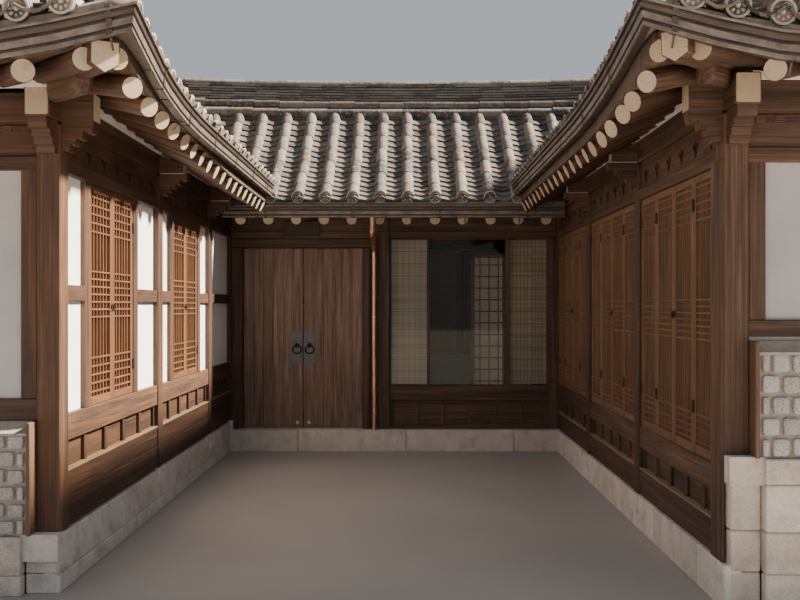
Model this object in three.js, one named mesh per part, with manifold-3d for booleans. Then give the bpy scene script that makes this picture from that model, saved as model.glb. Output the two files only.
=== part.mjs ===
// A hanok house front: two tiled wings and a lower gate range around a small courtyard.
// Millimetres, +Z up. The street is towards -Y, and the gate range closes the court at Y = 0.
import * as THREE from 'three';
import { mergeVertices } from 'three/addons/utils/BufferGeometryUtils.js';
import loadManifold from 'manifold-3d';

const manifold = await loadManifold();
manifold.setup();

// Driving dimensions of the plan
const courtHalf = 1975;
const wingSpan = 2700;
const columnWidth = 150;
const half = columnWidth / 2;
const gap = 0.3;

// Levels shared by the whole house
const windowSill = 1072;
const windowHead = 2584;
const windowRails = [[windowSill, windowSill + 55], [windowHead - 55, windowHead]];
const beamTop = 2880;
const purlinTop = 3060;
const nosing = 200;

// Roof: slope profile, deck thickness and eave line of the wings
const slopeStart = 0.57;
const slopeGrowth = 0.09e-3;
const deckThickness = 120;
const wingEave = 3140;
const sideEave = 540;
const streetEaveY = -7080;
const backEaveY = 3200;
const gableInset = 1100;
const gableOverhang = 250;
const cornerRun = 2600;
const crossRun = 1500;
const rafterLift = 110;
const rafterPitch = 300;
const rafterHalf = 62;
const rafterRise = 0.45;
const rafterInset = 30;
const rafterSeat = 55;
const rafterReach = 225;
const fanRun = 1500;
const tipGap = 190;
const fanTaper = 0.42;
const streetTaper = 0.6;
const streetFanInset = 260;
const gutterWidth = 85;
const gutterHeight = 140;
const gutterStart = 0.624;
const ridgeStop = 110;

// Base, skirts and rails
const stoneProud = 15;
const footingProud = 50;
const skirtProud = 100;
const baseRing = 325;
const backSkirt = 1043;
const midRail = [1780, 1885];
const postWidth = 115;
const floorBoard = 60;
const joistDepth = 180;
const courtRafterEnd = -900;

// Gate range
const gateEave = 2950;
const gateEaveY = -715;
const gateRidgeY = 1200;
const gatePurlinTop = 2990;
const gateBase = 260;
const gateLeft = -1832;
const gateRight = -382;
const gateSill = 271;
const gateHead = 2452;
const hingeClearance = 6;
const meetingGap = 8.6;
const leafFront = 10;
const leafBack = 60;
const gateRafterRise = 0.5;
const backEaveHalf = 1500;
const gateBeam = 2650;
const roomFloor = 600;
const windowLeft = -36;
const windowRight = 1864;
const mullions = [[405, 440], [1355, 1405]];
const paneHead = 2560;
const glassHalf = 3;
const middleColumn = [-200, -50];

// Each wing: side of the court, column lines from the street to the back, and its levels
const wings = {
  left: {
    side: -1,
    cornerLift: 165,
    cornerBulge: 150,
    lines: [-6000, -3550, -1320, 0, 2400],
    base: 360,
    streetBase: 360,
    skirtTop: 1043,
    streetRail: [1050, 1180],
    stoneInset: 0,
    floor: 600,
    courtRails: [[360, 540], [545, 710], [900, 1070]],
    courtPanel: 700,
    windows: [[-5430, -4350], [-3010, -1930]],
  },
  right: {
    side: 1,
    cornerLift: 180,
    cornerBulge: 45,
    lines: [-6350, -4233, -2117, 0, 2400],
    base: 260,
    streetBase: 883,
    skirtTop: 1549,
    streetRail: [1572, 1670],
    stoneInset: 20,
    floor: 760,
    courtRails: [[260, 464], [629, 800]],
    courtPanel: 440,
    windows: [],
  },
};

const finishes = {
  timber: { color: 0x7a5238, roughness: 0.7, metalness: 0 },
  gatePlanks: { color: 0x4b3428, roughness: 0.6, metalness: 0 },
  lattice: { color: 0x9c6a43, roughness: 0.7, metalness: 0 },
  plaster: { color: 0xe2dfd8, roughness: 0.9, metalness: 0 },
  granite: { color: 0xa9a59c, roughness: 0.9, metalness: 0 },
  tile: { color: 0x76736d, roughness: 0.85, metalness: 0 },
  gutterMetal: { color: 0x4a4038, roughness: 0.45, metalness: 0.3 },
  copper: { color: 0xb0704a, roughness: 0.4, metalness: 0.9 },
  iron: { color: 0x26241f, roughness: 0.5, metalness: 0.7 },
  glass: { color: 0x9fb0b4, roughness: 0.05, metalness: 0 },
  blind: { color: 0xb9ad93, roughness: 0.9, metalness: 0 },
};

const house = new THREE.Group();

// Solids: closed geometries in and out of the boolean library

function solidOf(geometry) {
  const bare = new THREE.BufferGeometry();
  bare.setAttribute('position', geometry.getAttribute('position').clone());
  if (geometry.index) bare.setIndex(geometry.index.clone());
  const merged = mergeVertices(bare, 1e-3);
  return new manifold.Manifold(new manifold.Mesh({
    numProp: 3,
    vertProperties: new Float32Array(merged.getAttribute('position').array),
    triVerts: new Uint32Array(merged.index.array),
  }));
}

// The solid of a closed list of faces, turned the right way out
function closed(points, faces) {
  const geometry = new THREE.BufferGeometry();
  const flat = points.flatMap((point) => [point.x, point.y, point.z]);
  geometry.setAttribute('position', new THREE.Float32BufferAttribute(flat, 3));
  geometry.setIndex(faces);
  const solid = solidOf(geometry);
  if (solid.volume() > 0) return solid;
  geometry.setIndex(faces.reverse());
  return solidOf(geometry);
}

function geometryOf(solid) {
  const mesh = solid.getMesh();
  const geometry = new THREE.BufferGeometry();
  geometry.setAttribute('position', new THREE.Float32BufferAttribute(mesh.vertProperties, 3));
  geometry.setIndex(Array.from(mesh.triVerts));
  geometry.computeVertexNormals();
  return geometry;
}

function block(x0, x1, y0, y1, z0, z1) {
  const box = new THREE.BoxGeometry(Math.abs(x1 - x0), Math.abs(y1 - y0), Math.abs(z1 - z0));
  box.translate((x0 + x1) / 2, (y0 + y1) / 2, (z0 + z1) / 2);
  return solidOf(box);
}

function union(solids) {
  return solids.reduce((whole, solid) => whole.add(solid));
}

function cut(solid, cutters) {
  return cutters.reduce((rest, cutter) => rest.subtract(cutter), solid);
}

function largest(solid) {
  const pieces = solid.decompose();
  pieces.sort((a, b) => b.volume() - a.volume());
  return pieces[0];
}

function place(name, solid, finish) {
  const material = new THREE.MeshStandardMaterial(finishes[finish]);
  const mesh = new THREE.Mesh(geometryOf(solid), material);
  mesh.name = name;
  house.add(mesh);
}

// A box in a wing: u runs outward from its courtyard face, and grow widens it on every side
function wingBlock(wing, u0, u1, y0, y1, z0, z1, grow = 0) {
  const x0 = wing.side * (courtHalf + u0 - grow);
  const x1 = wing.side * (courtHalf + u1 + grow);
  return block(x0, x1, y0 - grow, y1 + grow, z0 - grow, z1 + grow);
}

// A closed loft through rings of equal point counts, with the ends closed by the flat outline
function loft(rings, outline) {
  const count = outline.length;
  const points = rings.flat();
  const faces = [];
  for (let ring = 0; ring + 1 < rings.length; ring += 1) {
    for (let i = 0; i < count; i += 1) {
      const a = ring * count + i;
      const b = ring * count + (i + 1) % count;
      faces.push(a, b, b + count, a, b + count, a + count);
    }
  }
  const last = (rings.length - 1) * count;
  for (const [a, b, c] of THREE.ShapeUtils.triangulateShape(outline, [])) {
    faces.push(a, c, b, last + a, last + b, last + c);
  }
  return closed(points, faces);
}

// Sweeps an outline of (outward, up) points along a level or rising path with mitred corners
function sweep(path, outline) {
  const rings = path.map((point, i) => {
    const before = path[Math.max(i - 1, 0)];
    const after = path[Math.min(i + 1, path.length - 1)];
    const first = normalOf(before, i > 0 ? point : after);
    const second = normalOf(i + 1 < path.length ? point : before, after);
    const mitre = first.clone().add(second);
    mitre.multiplyScalar(1 / (1 + first.dot(second)));
    return outline.map((corner) => new THREE.Vector3(
      point.x + mitre.x * corner.x,
      point.y + mitre.y * corner.x,
      point.z + corner.y,
    ));
  });
  return loft(rings, outline);
}

function normalOf(from, to) {
  const along = new THREE.Vector2(to.x - from.x, to.y - from.y).normalize();
  return new THREE.Vector2(along.y, -along.x);
}

function outlineOf(pairs) {
  return pairs.map(([x, y]) => new THREE.Vector2(x, y));
}

// Roof surfaces

function profile(eave, distance) {
  const curve = distance > 0 ? slopeGrowth * distance * distance : 0;
  return eave + slopeStart * distance + curve;
}

const wingHalf = sideEave + wingSpan / 2;
const wingAxis = courtHalf + wingSpan / 2;

function fade(distance, run) {
  return Math.max(0, 1 - distance / run) ** 2;
}

function endDistance(y) {
  return Math.min(y - streetEaveY, backEaveY - y);
}

// Height of a wing's tiles above the plan: the slope, lifted towards the four corners
function wingTop(wing, sideDistance, y, end) {
  const lift = wing.cornerLift * fade(sideDistance, crossRun) * fade(endDistance(y), cornerRun);
  return profile(wingEave, end ? endDistance(y) : sideDistance) + lift;
}

function eaveBulge(wing, y) {
  return wing.cornerBulge * fade(endDistance(y), cornerRun);
}

function endBulge(wing, offset) {
  return wing.cornerBulge * 0.5 * fade(wingHalf - Math.abs(offset), wingHalf);
}

const crossSteps = [-1, -0.8, -0.6, -0.4, -0.2, 0, 0.2, 0.4, 0.6, 0.8, 1];
const lengthSteps = [0, 0.05, 0.106, 0.16, 0.25, 0.4, 0.6, 0.75, 0.84, 0.894, 0.95, 1];

// The volume under a wing's slopes: end picks the two end slopes instead of the side ones
function underWing(wing, end, drop, margin) {
  const grid = lengthSteps.map((step) => crossSteps.map((cross) => (
    roofPoint(wing, step, cross, end, drop, margin)
  )));
  return heightSolid(grid, 2200 - margin);
}

// A point of a wing's roof: step runs from the street to the back, cross from eave to eave
function roofPoint(wing, step, cross, end, drop, margin) {
  const y = streetEaveY + step * (backEaveY - streetEaveY);
  const offset = cross * (wingHalf + eaveBulge(wing, y) + margin);
  const push = (endBulge(wing, cross * wingHalf) + margin) * (step === 0 ? -1 : step === 1 ? 1 : 0);
  const z = wingTop(wing, wingHalf - Math.abs(offset), y + push, end) - drop;
  return new THREE.Vector3(wing.side * wingAxis + offset, y + push, z);
}

// The volume between a grid of points and a level floor below it
function heightSolid(grid, floor) {
  const rows = grid.length;
  const columns = grid[0].length;
  const top = grid.flat();
  const points = top.concat(top.map((point) => new THREE.Vector3(point.x, point.y, floor)));
  const faces = [];
  const lower = rows * columns;
  for (let r = 0; r + 1 < rows; r += 1) {
    for (let c = 0; c + 1 < columns; c += 1) {
      const a = r * columns + c;
      const d = a + columns;
      faces.push(a, a + 1, d + 1, a, d + 1, d);
      faces.push(lower + a, lower + d + 1, lower + a + 1, lower + a, lower + d, lower + d + 1);
    }
  }
  const rim = [];
  for (let c = 0; c < columns; c += 1) rim.push(c);
  for (let r = 1; r < rows; r += 1) rim.push(r * columns + columns - 1);
  for (let c = columns - 2; c >= 0; c -= 1) rim.push((rows - 1) * columns + c);
  for (let r = rows - 2; r > 0; r -= 1) rim.push(r * columns);
  rim.forEach((a, i) => {
    const b = rim[(i + 1) % rim.length];
    faces.push(a, lower + a, lower + b, a, lower + b, b);
  });
  return closed(points, faces);
}

const gableStreetY = streetEaveY + gableInset;
const gableBackY = backEaveY - gableInset;
const gableTopHalf = wingHalf - gableInset - 100;

function gateTop(y) {
  return profile(gateEave, Math.min(y - gateEaveY, 2 * gateRidgeY - gateEaveY - y));
}

// The volume under the gate range's roof, wide between the wings and narrow at its eaves
function underGate(drop, margin) {
  const backY = 2 * gateRidgeY - gateEaveY;
  const inside = 3200 + margin;
  const steps = [0, 0.125, 0.25, 0.375, 0.5, 0.625, 0.75, 0.875, 1];
  const grid = steps.map((step) => [-inside, inside].map((x) => {
    const y = gateEaveY + step * (backY - gateEaveY);
    const push = step === 0 ? -margin : step === 1 ? margin : 0;
    return new THREE.Vector3(x, y + push, gateTop(y + push) - drop);
  }));
  const eaves = courtHalf - 5 + margin;
  const wide = block(-inside, inside, -140 - margin, 2425 + margin, 2100, 4600);
  const front = block(-eaves, eaves, gateEaveY - 200, 0, 2100, 4600);
  const back = block(-backEaveHalf - margin, backEaveHalf + margin, 2400, backY + 200, 2100, 4600);
  return heightSolid(grid, 2200 - margin).intersect(union([wide, front, back]));
}

function wingDeck(wing, grow) {
  const x0 = wing.side * wingAxis - wingHalf - 300;
  const x1 = wing.side * wingAxis + wingHalf + 300;
  const shell = (end) => {
    const upper = underWing(wing, false, -grow, grow);
    const lower = underWing(wing, false, deckThickness + grow, 20);
    if (!end) return upper.subtract(lower);
    const cap = underWing(wing, true, -grow, grow);
    const hollow = underWing(wing, true, deckThickness + grow, 20);
    return upper.intersect(cap).subtract(lower.intersect(hollow));
  };
  const middle = block(x0, x1, gableStreetY - grow, gableBackY + grow, 2000, 6000);
  const xc = wing.side * wingAxis;
  const overhang = block(
    xc - gableTopHalf - grow,
    xc + gableTopHalf + grow,
    gableStreetY - gableOverhang - grow,
    gableBackY + gableOverhang + grow,
    2000,
    6000,
  );
  const skirts = block(x0, x1, streetEaveY - 300, gableStreetY + 1, 2000, 6000)
    .add(block(x0, x1, gableBackY - 1, backEaveY + 300, 2000, 6000));
  const main = shell(false).intersect(middle.add(overhang));
  return main.add(shell(true).intersect(skirts));
}

// Ridges: a stack of flat tiles on a bed, swept along the roof and cut to sit on the deck

function ridgeAlong(path, width, height) {
  const edge = width / 2;
  const outline = outlineOf([[-edge, -90], [edge, -90], [edge, height], [-edge, height]]);
  return sweep(path, outline);
}

function samplePath(steps, at) {
  return Array.from({ length: steps + 1 }, (_, i) => at(i / steps));
}

function wingRidges(wing) {
  const xc = wing.side * wingAxis;
  const crest = profile(wingEave, wingHalf);
  const ends = [[gableStreetY, -1, streetEaveY], [gableBackY, 1, backEaveY]];
  const span = gableBackY - gableStreetY + 2 * gableOverhang;
  const main = ridgeAlong(samplePath(10, (t) => {
    const y = gableStreetY - gableOverhang + t * span;
    return new THREE.Vector3(xc, y, crest + 120 * (2 * t - 1) ** 2);
  }), 230, 330);
  const parts = [main];
  for (const [gableY, way, eaveY] of ends) {
    for (const flank of [-1, 1]) {
      parts.push(ridgeAlong(samplePath(6, (t) => {
        const distance = wingHalf - 60 - t * (wingHalf - gableInset);
        const z = profile(wingEave, distance) + 20;
        return new THREE.Vector3(
          xc + flank * (wingHalf - distance),
          gableY + way * (gableOverhang - 110) * (1 - Math.max(0, t * 1.4 - 0.4)),
          z,
        );
      }), 190, 190));
      parts.push(ridgeAlong(samplePath(6, (t) => {
        const distance = gableInset * (1 - t) + ridgeStop * t;
        const y = eaveY - way * distance;
        const offset = wingHalf - distance + eaveBulge(wing, y) * t;
        return new THREE.Vector3(xc + flank * offset, y, wingTop(wing, distance, y, false) + 10);
      }), 180, 170));
    }
  }
  return union(parts);
}

function gateRidge() {
  const crest = gateTop(gateRidgeY);
  return ridgeAlong(samplePath(8, (t) => {
    const x = -3150 + t * 6300;
    return new THREE.Vector3(x, gateRidgeY, crest + 60 * (2 * t - 1) ** 2);
  }), 230, 390);
}

// Eave line of a wing, from the gate range round the street and the outer side to the back
function gutterPath(wing, startStep) {
  const court = -wing.side;
  const point = (step, cross) => roofPoint(wing, step, cross, cross * cross < 1, 0, 0);
  const inner = lengthSteps.filter((step) => step > 0 && step < 1);
  const across = crossSteps.filter((cross) => cross * cross < 1);
  return [
    point(startStep, court),
    ...inner.filter((step) => step < startStep).reverse().map((step) => point(step, court)),
    point(0, court),
    ...across.map((cross) => point(0, -court * cross)),
    point(0, -court),
    ...inner.map((step) => point(step, -court)),
    point(1, -court),
    ...across.map((cross) => point(1, court * cross)),
    point(1, court),
  ];
}

function corner(wing, flank, eaveY) {
  return roofPoint(wing, eaveY < 0 ? 0 : 1, flank, false, 0, 0);
}

// Stone base of a wing: a ring under the walls, its street courses and the masonry skirts
function wingBase(wing) {
  const [first, last] = [wing.lines[0], wing.lines.at(-1)];
  const front = first - half;
  const outer = wingSpan + 110;
  const [skirt0, skirt1] = [columnWidth + gap, wingSpan - columnWidth - gap];
  const parts = [
    wingBlock(wing, -stoneProud, baseRing, front - footingProud, -200, 0, wing.base),
    wingBlock(wing, 0, baseRing, -210, last + 100, 0, wing.base),
    wingBlock(wing, wingSpan - baseRing, outer, front - footingProud, last + 100, 0, wing.base),
    wingBlock(wing, 0, wingSpan, last - 250, last + 100, 0, wing.base),
    wingBlock(wing, wing.stoneInset, outer, front - footingProud, first + half, 0, wing.streetBase),
    wingBlock(wing, 200, outer, front - skirtProud - 15, first, 0, wing.streetBase),
    wingBlock(wing, skirt0, skirt1, front - skirtProud, first + 60, 0, wing.skirtTop),
    wingBlock(wing, skirt0, skirt1, last - 60, last + half + 20, 0, backSkirt),
  ];
  for (let i = 0; i + 1 < wing.lines.length; i += 1) {
    const [y0, y1] = [wing.lines[i] + half + gap, wing.lines[i + 1] - half - gap];
    parts.push(wingBlock(wing, wingSpan - 130, wingSpan + 95, y0, y1, 0, backSkirt));
  }
  return union(parts);
}

function wingFrame(wing, sheets) {
  const { lines, base, streetBase, floor } = wing;
  const [first, last] = [lines[0], lines.at(-1)];
  const inner = wingSpan - columnWidth;
  const parts = [];
  const add = (...sizes) => parts.push(wingBlock(wing, ...sizes));
  lines.forEach((y, i) => {
    const foot = i === 0 ? streetBase : base;
    add(0, columnWidth, y - half, y + half, foot, beamTop);
    add(inner, wingSpan, y - half, y + half, foot, beamTop);
    const court = i > 0 && i < 3 ? nosing : 0;
    add(-court, wingSpan + (i > 0 && i < 4 ? nosing : 0), y - 60, y + 60, 2690, beamTop);
    if (court) {
      add(-130, 10, y - 50, y + 50, 2590, 2700);
      add(-70, 10, y - 50, y + 50, 2500, 2600);
    }
  });
  for (const u of [0, inner]) {
    add(u + 5, u + 145, first, last, windowHead, 2670);
    add(u + 25, u + 125, first, last, 2660, beamTop);
    add(u + 25, u + 125, first - half - 150, first, 2760, beamTop);
    add(u + 25, u + 125, first - half - 80, first, 2680, 2770);
  }
  for (const [y, u0] of [[first, -nosing], [last, 0]]) {
    add(0, wingSpan, y - 70, y + 70, windowHead, 2670);
    add(u0 * 0.75, wingSpan + 150, y - 50, y + 50, 2760, beamTop);
    add(u0 * 0.4, wingSpan, y - 50, y + 50, 2660, 2770);
  }
  const courtStart = first + (wing.stoneInset > 0 ? half + gap : 0);
  for (const [z0, z1] of wing.courtRails) add(15, 135, courtStart, lines[3], z0, z1);
  const [r0, r1] = wing.streetRail;
  add(half, wingSpan - half, first - 60, first + 60, r0, r1);
  add(half, wingSpan - half, last - 60, last + 60, backSkirt + 7, backSkirt + 137);
  add(half, wingSpan - half, last - 60, last + 60, midRail[0], midRail[1]);
  for (const u of [150, 1290, 2450]) {
    add(u, u + 100, first - 60, first + 60, r0, 2600);
    add(u, u + 100, last - 60, last + 60, backSkirt + 7, 2600);
  }
  add(inner + 15, inner + 135, first, last, backSkirt + 7, windowSill);
  const courtWalls = [[wing.windows, 15]].concat([[[outerWindow(wing)], inner + 15]]);
  for (const [windows, u] of courtWalls) {
    let y = first;
    for (const [w0, w1] of windows) {
      add(u, u + 120, y, w0, midRail[0], midRail[1]);
      add(u, u + 120, w0 - postWidth, w0, windowSill - 10, 2600);
      add(u, u + 120, w1, w1 + postWidth, windowSill - 10, 2600);
      y = w1;
    }
    if (windows.length) add(u, u + 120, y, last, midRail[0], midRail[1]);
  }
  for (const y of lines.slice(1, -1)) {
    add(140, inner + 10, y - 49, y + 49, floor - joistDepth, floor - floorBoard);
  }
  if (wing.stoneInset > 0) add(-8, 12, first - 60, first + columnWidth, base + 5, 2600);
  return cut(union([...parts, wingPurlins(wing, 0)]), sheets);
}

// Floor of a wing: boards on the cross beams, with a batten under their edges on three sides
function wingFloor(wing) {
  const [front, back] = [wing.lines[0] + half + 5, wing.lines.at(-1) - half];
  const [u0, u1] = [columnWidth + gap, wingSpan - columnWidth - gap];
  const batten = 120;
  const level = [wing.floor - joistDepth, wing.floor - floorBoard + 1];
  const beams = wing.lines.slice(1, -1).map((y) => (
    wingBlock(wing, 0, wingSpan, y - 49, y + 49, ...level, gap)
  ));
  const battens = union([
    wingBlock(wing, u0, u0 + batten, front + batten, back, ...level),
    wingBlock(wing, u1 - batten, u1, front + batten, back, ...level),
    wingBlock(wing, u0, u1, back - batten, back, ...level),
  ]);
  const boards = wingBlock(wing, u0, u1, front, back, wing.floor - floorBoard, wing.floor);
  return cut(battens, beams).add(boards);
}

// The ring of purlins on top of the walls, whose ends run past the corners
function wingPurlins(wing, grow) {
  const [first, last] = [wing.lines[0], wing.lines.at(-1)];
  const ring = (u0, u1, y0, y1) => wingBlock(wing, u0, u1, y0, y1, beamTop - 5, purlinTop, grow);
  return union([
    ring(0, columnWidth, first - half - nosing, last + half + nosing),
    ring(wingSpan - columnWidth, wingSpan, first - half - nosing, last + half + nosing),
    ring(-nosing, wingSpan + nosing, first - half, first + half),
    ring(0, wingSpan + nosing, last - half, last + half),
  ]);
}

function outerWindow(wing) {
  const middle = (wing.lines[1] + wing.lines[2]) / 2;
  return [middle - 540, middle + 540];
}

// Plaster and panel sheets set in the middle of the columns; grow makes the slots for them
function wallSheets(wing, grow) {
  const [first, last] = [wing.lines[0], wing.lines.at(-1)];
  const inner = wingSpan - columnWidth;
  const top = 2624;
  const openings = (windows, u) => windows.map(([w0, w1]) => (
    wingBlock(wing, u - 50, u + 200, w0, w1, windowSill, windowHead, -grow)
  ));
  const court = wing.windows.length
    ? wingBlock(wing, 45, 105, first - 30, last + 30, wing.courtPanel, top, grow)
    : wingBlock(wing, 45, 105, first + 80, wing.lines[3] + 30, wing.courtPanel, 650, grow);
  return {
    court: cut(court, openings(wing.windows, 45)),
    street: wingBlock(
      wing, 105 + 2 * gap, inner + 45 - 2 * gap, first - 30, first + 30, wing.skirtTop, top, grow,
    ),
    outer: cut(
      wingBlock(wing, inner + 45, inner + 105, first - 30, last + 30, backSkirt, top, grow),
      openings([outerWindow(wing)], inner + 45),
    ),
    back: wingBlock(wing, 105 + 2 * gap, inner + 45 - 2 * gap, last - 30, last + 30, backSkirt, top, grow),
  };
}

// A pair or a set of lattice leaves: stiles, rails and the papered ground behind the bars
function leafSet(wing, u, y0, y1, z0, z1, leaves, stile, rails) {
  const parts = [wingBlock(wing, u + 14, u + 30, y0, y1, z0, z1)];
  const width = (y1 - y0) / leaves;
  for (let i = 0; i < leaves; i += 1) {
    const y = y0 + i * width;
    parts.push(wingBlock(wing, u, u + 42, y, y + stile, z0, z1));
    parts.push(wingBlock(wing, u, u + 42, y + width - stile, y + width, z0, z1));
  }
  for (const [a, b] of rails) parts.push(wingBlock(wing, u, u + 42, y0, y1, a, b));
  return union(parts);
}

// Rafters with the boarding on them: each station is one rafter, from its end to the wall
function rafterStrip(stations) {
  const section = [[-1, 62], [-0.72, -55], [0.72, -55], [1, 62]];
  const points = [];
  for (const { outer, inner, tangent, innerHalf, topOuter } of stations) {
    for (const [base, reach, top] of [[outer, rafterHalf, topOuter], [inner, innerHalf, 87]]) {
      for (const [s, h] of section) points.push(pointOf(base, tangent, s * reach, h));
      points.push(pointOf(base, tangent, -reach, top), pointOf(base, tangent, reach, top));
    }
  }
  const faces = [];
  const quad = (a, b, c, d) => faces.push(a, b, c, a, c, d);
  const last = stations.length - 1;
  stations.forEach((station, i) => {
    const o = i * 12;
    const n = o + 6;
    const next = o + 12;
    quad(o, o + 1, o + 2, o + 3);
    quad(o, o + 3, o + 5, o + 4);
    quad(n + 3, n + 2, n + 1, n);
    quad(n + 4, n + 5, n + 3, n);
    for (let k = 0; k < 3; k += 1) quad(o + k + 1, o + k, n + k, n + k + 1);
    quad(o + 4, o + 5, n + 5, n + 4);
    if (i === 0) quad(o, o + 4, n + 4, n);
    if (i === last) {
      quad(o + 5, o + 3, n + 3, n + 5);
      return;
    }
    quad(o + 3, next, next + 4, o + 5);
    quad(n + 5, next + 10, next + 6, n + 3);
    quad(next, o + 3, n + 3, next + 6);
    quad(o + 5, next + 4, next + 10, n + 5);
  });
  return closed(points, faces);
}

function pointOf(base, tangent, s, h) {
  return new THREE.Vector3(base.x + tangent.x * s, base.y + tangent.y * s, base.z + h);
}

function wingRafterStations(wing) {
  const xc = wing.side * wingAxis;
  const court = -wing.side;
  const stations = [];
  const [wallFront, wallBack] = [first(wing) - half, wing.lines.at(-1) + half];
  const outerBottom = purlinTop + gap - rafterRise * sideEave;
  const restingZ = outerBottom + rafterSeat;
  const overhangs = { street: wallFront - streetEaveY, side: sideEave, back: backEaveY - wallBack };
  const innerZ = (overhang) => {
    const rise = (purlinTop + 8 - outerBottom) / (overhang - rafterInset);
    return restingZ + rise * (overhang - rafterInset + rafterReach);
  };
  const sideStation = (flank, y, tangentY) => {
    const offset = wingHalf + eaveBulge(wing, y) - rafterInset;
    const innerOffset = wingSpan / 2 - rafterReach;
    const low = wallFront + 200;
    const high = wallBack - 200;
    let innerY = y;
    if (y < low + fanRun) {
      innerY = low + fanRun - (low + fanRun - y) * fanRun / (low + fanRun - streetEaveY);
    }
    if (y > high - fanRun) {
      innerY = high - fanRun + (y - high + fanRun) * fanRun / (backEaveY - high + fanRun);
    }
    const inFan = y < low + fanRun || y > high - fanRun;
    const deck = wingTop(wing, rafterInset - eaveBulge(wing, y), y, false) - deckThickness;
    const z = restingZ + rafterLift * fade(endDistance(y), cornerRun);
    stations.push({
      outer: new THREE.Vector3(xc + flank * offset, y, z),
      inner: new THREE.Vector3(xc + flank * innerOffset, innerY, innerZ(overhangs.side)),
      tangent: new THREE.Vector2(0, tangentY),
      innerHalf: rafterHalf * (inFan ? fanTaper : 1),
      topOuter: deck - gap - z,
    });
  };
  const endStation = (offset, eaveY, way, tangentX) => {
    const y = eaveY + way * (endBulge(wing, offset) - rafterInset);
    const overhang = way < 0 ? overhangs.street : overhangs.back;
    const innerY = way < 0 ? wallFront + rafterReach : wallBack - rafterReach;
    const innerOffset = offset * (wingSpan / 2 - streetFanInset) / (wingHalf + 20);
    const z = restingZ + rafterLift * fade(wingHalf - Math.abs(offset), crossRun);
    const deck = wingTop(wing, wingHalf - Math.abs(offset), y, true) - deckThickness;
    stations.push({
      outer: new THREE.Vector3(xc + offset, y, z),
      inner: new THREE.Vector3(xc + innerOffset, innerY, innerZ(overhang)),
      tangent: new THREE.Vector2(tangentX, 0),
      innerHalf: rafterHalf * streetTaper,
      topOuter: deck - gap - z,
    });
  };
  const count = (span) => Math.round(span / rafterPitch);
  const sideFrom = (flank, from, to) => {
    const n = count(Math.abs(to - from));
    for (let i = 0; i <= n; i += 1) sideStation(flank, from + i * (to - from) / n, Math.sign(to - from));
  };
  sideFrom(court, courtRafterEnd, streetEaveY + tipGap);
  const reach = wingHalf - tipGap;
  const acrossCount = count(2 * reach);
  for (let i = 0; i <= acrossCount; i += 1) {
    endStation(court * (reach - i * 2 * reach / acrossCount), streetEaveY, -1, -court);
  }
  sideFrom(-court, streetEaveY + tipGap, backEaveY - tipGap);
  for (let i = 0; i <= acrossCount; i += 1) {
    endStation(-court * (reach - i * 2 * reach / acrossCount), backEaveY, 1, court);
  }
  return stations;
}

function first(wing) {
  return wing.lines[0];
}

function hipBeam(wing, flank, eaveY) {
  const xc = wing.side * wingAxis;
  const way = eaveY < 0 ? -1 : 1;
  const columnY = way < 0 ? first(wing) + 200 : wing.lines.at(-1) - 200;
  const tip = corner(wing, flank, eaveY);
  const start = new THREE.Vector3(xc + flank * (wingSpan / 2 - 250), columnY, purlinTop + 40);
  const end = new THREE.Vector3(tip.x - flank * 90, tip.y - way * 90, tip.z - 330);
  return sweep([start, end], outlineOf([[-75, -30], [75, -30], [75, 175], [-75, 175]]));
}

function wingRafters(wing) {
  const court = -wing.side;
  const strip = rafterStrip(wingRafterStations(wing));
  const hips = [[court, streetEaveY], [-court, streetEaveY], [-court, backEaveY]]
    .map(([flank, eaveY]) => hipBeam(wing, flank, eaveY));
  return union([strip, ...hips]);
}

// Gable wall at both ends with the ridge beam that joins them
function wingGables(wing) {
  const xc = wing.side * wingAxis;
  const steps = [-1, -0.75, -0.5, -0.25, 0, 0.25, 0.5, 0.75, 1];
  const reach = gableTopHalf + 70;
  const points = steps.map((step) => {
    const distance = wingHalf - Math.abs(step) * reach;
    return [step * reach, profile(wingEave, distance) - deckThickness - 6];
  });
  const foot = points[0][1] - 60;
  const outline = outlineOf([[-reach, foot], [reach, foot], ...points.reverse()]);
  const panel = (y) => {
    const ring = (at) => outline.map((p) => new THREE.Vector3(xc + p.x, at, p.y));
    return loft([ring(y), ring(y + 60)], outline);
  };
  const top = profile(wingEave, wingHalf - 75) - deckThickness - 6;
  const beam = block(xc - 75, xc + 75, gableStreetY + 10, gableBackY - 10, top - 180, top);
  return union([panel(gableStreetY + gap), panel(gableBackY - 60 - gap), beam]);
}

const gutterOutline = outlineOf([
  [gap, -gutterHeight], [gutterWidth, -gutterHeight], [gutterWidth, 0], [gutterWidth - 8, 0],
  [gutterWidth - 8, -gutterHeight + 8], [gap + 8, -gutterHeight + 8], [gap + 8, -20], [gap, -20],
]);

function mirrored(outline) {
  return outline.map((point) => new THREE.Vector2(-point.x, point.y)).reverse();
}

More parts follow.
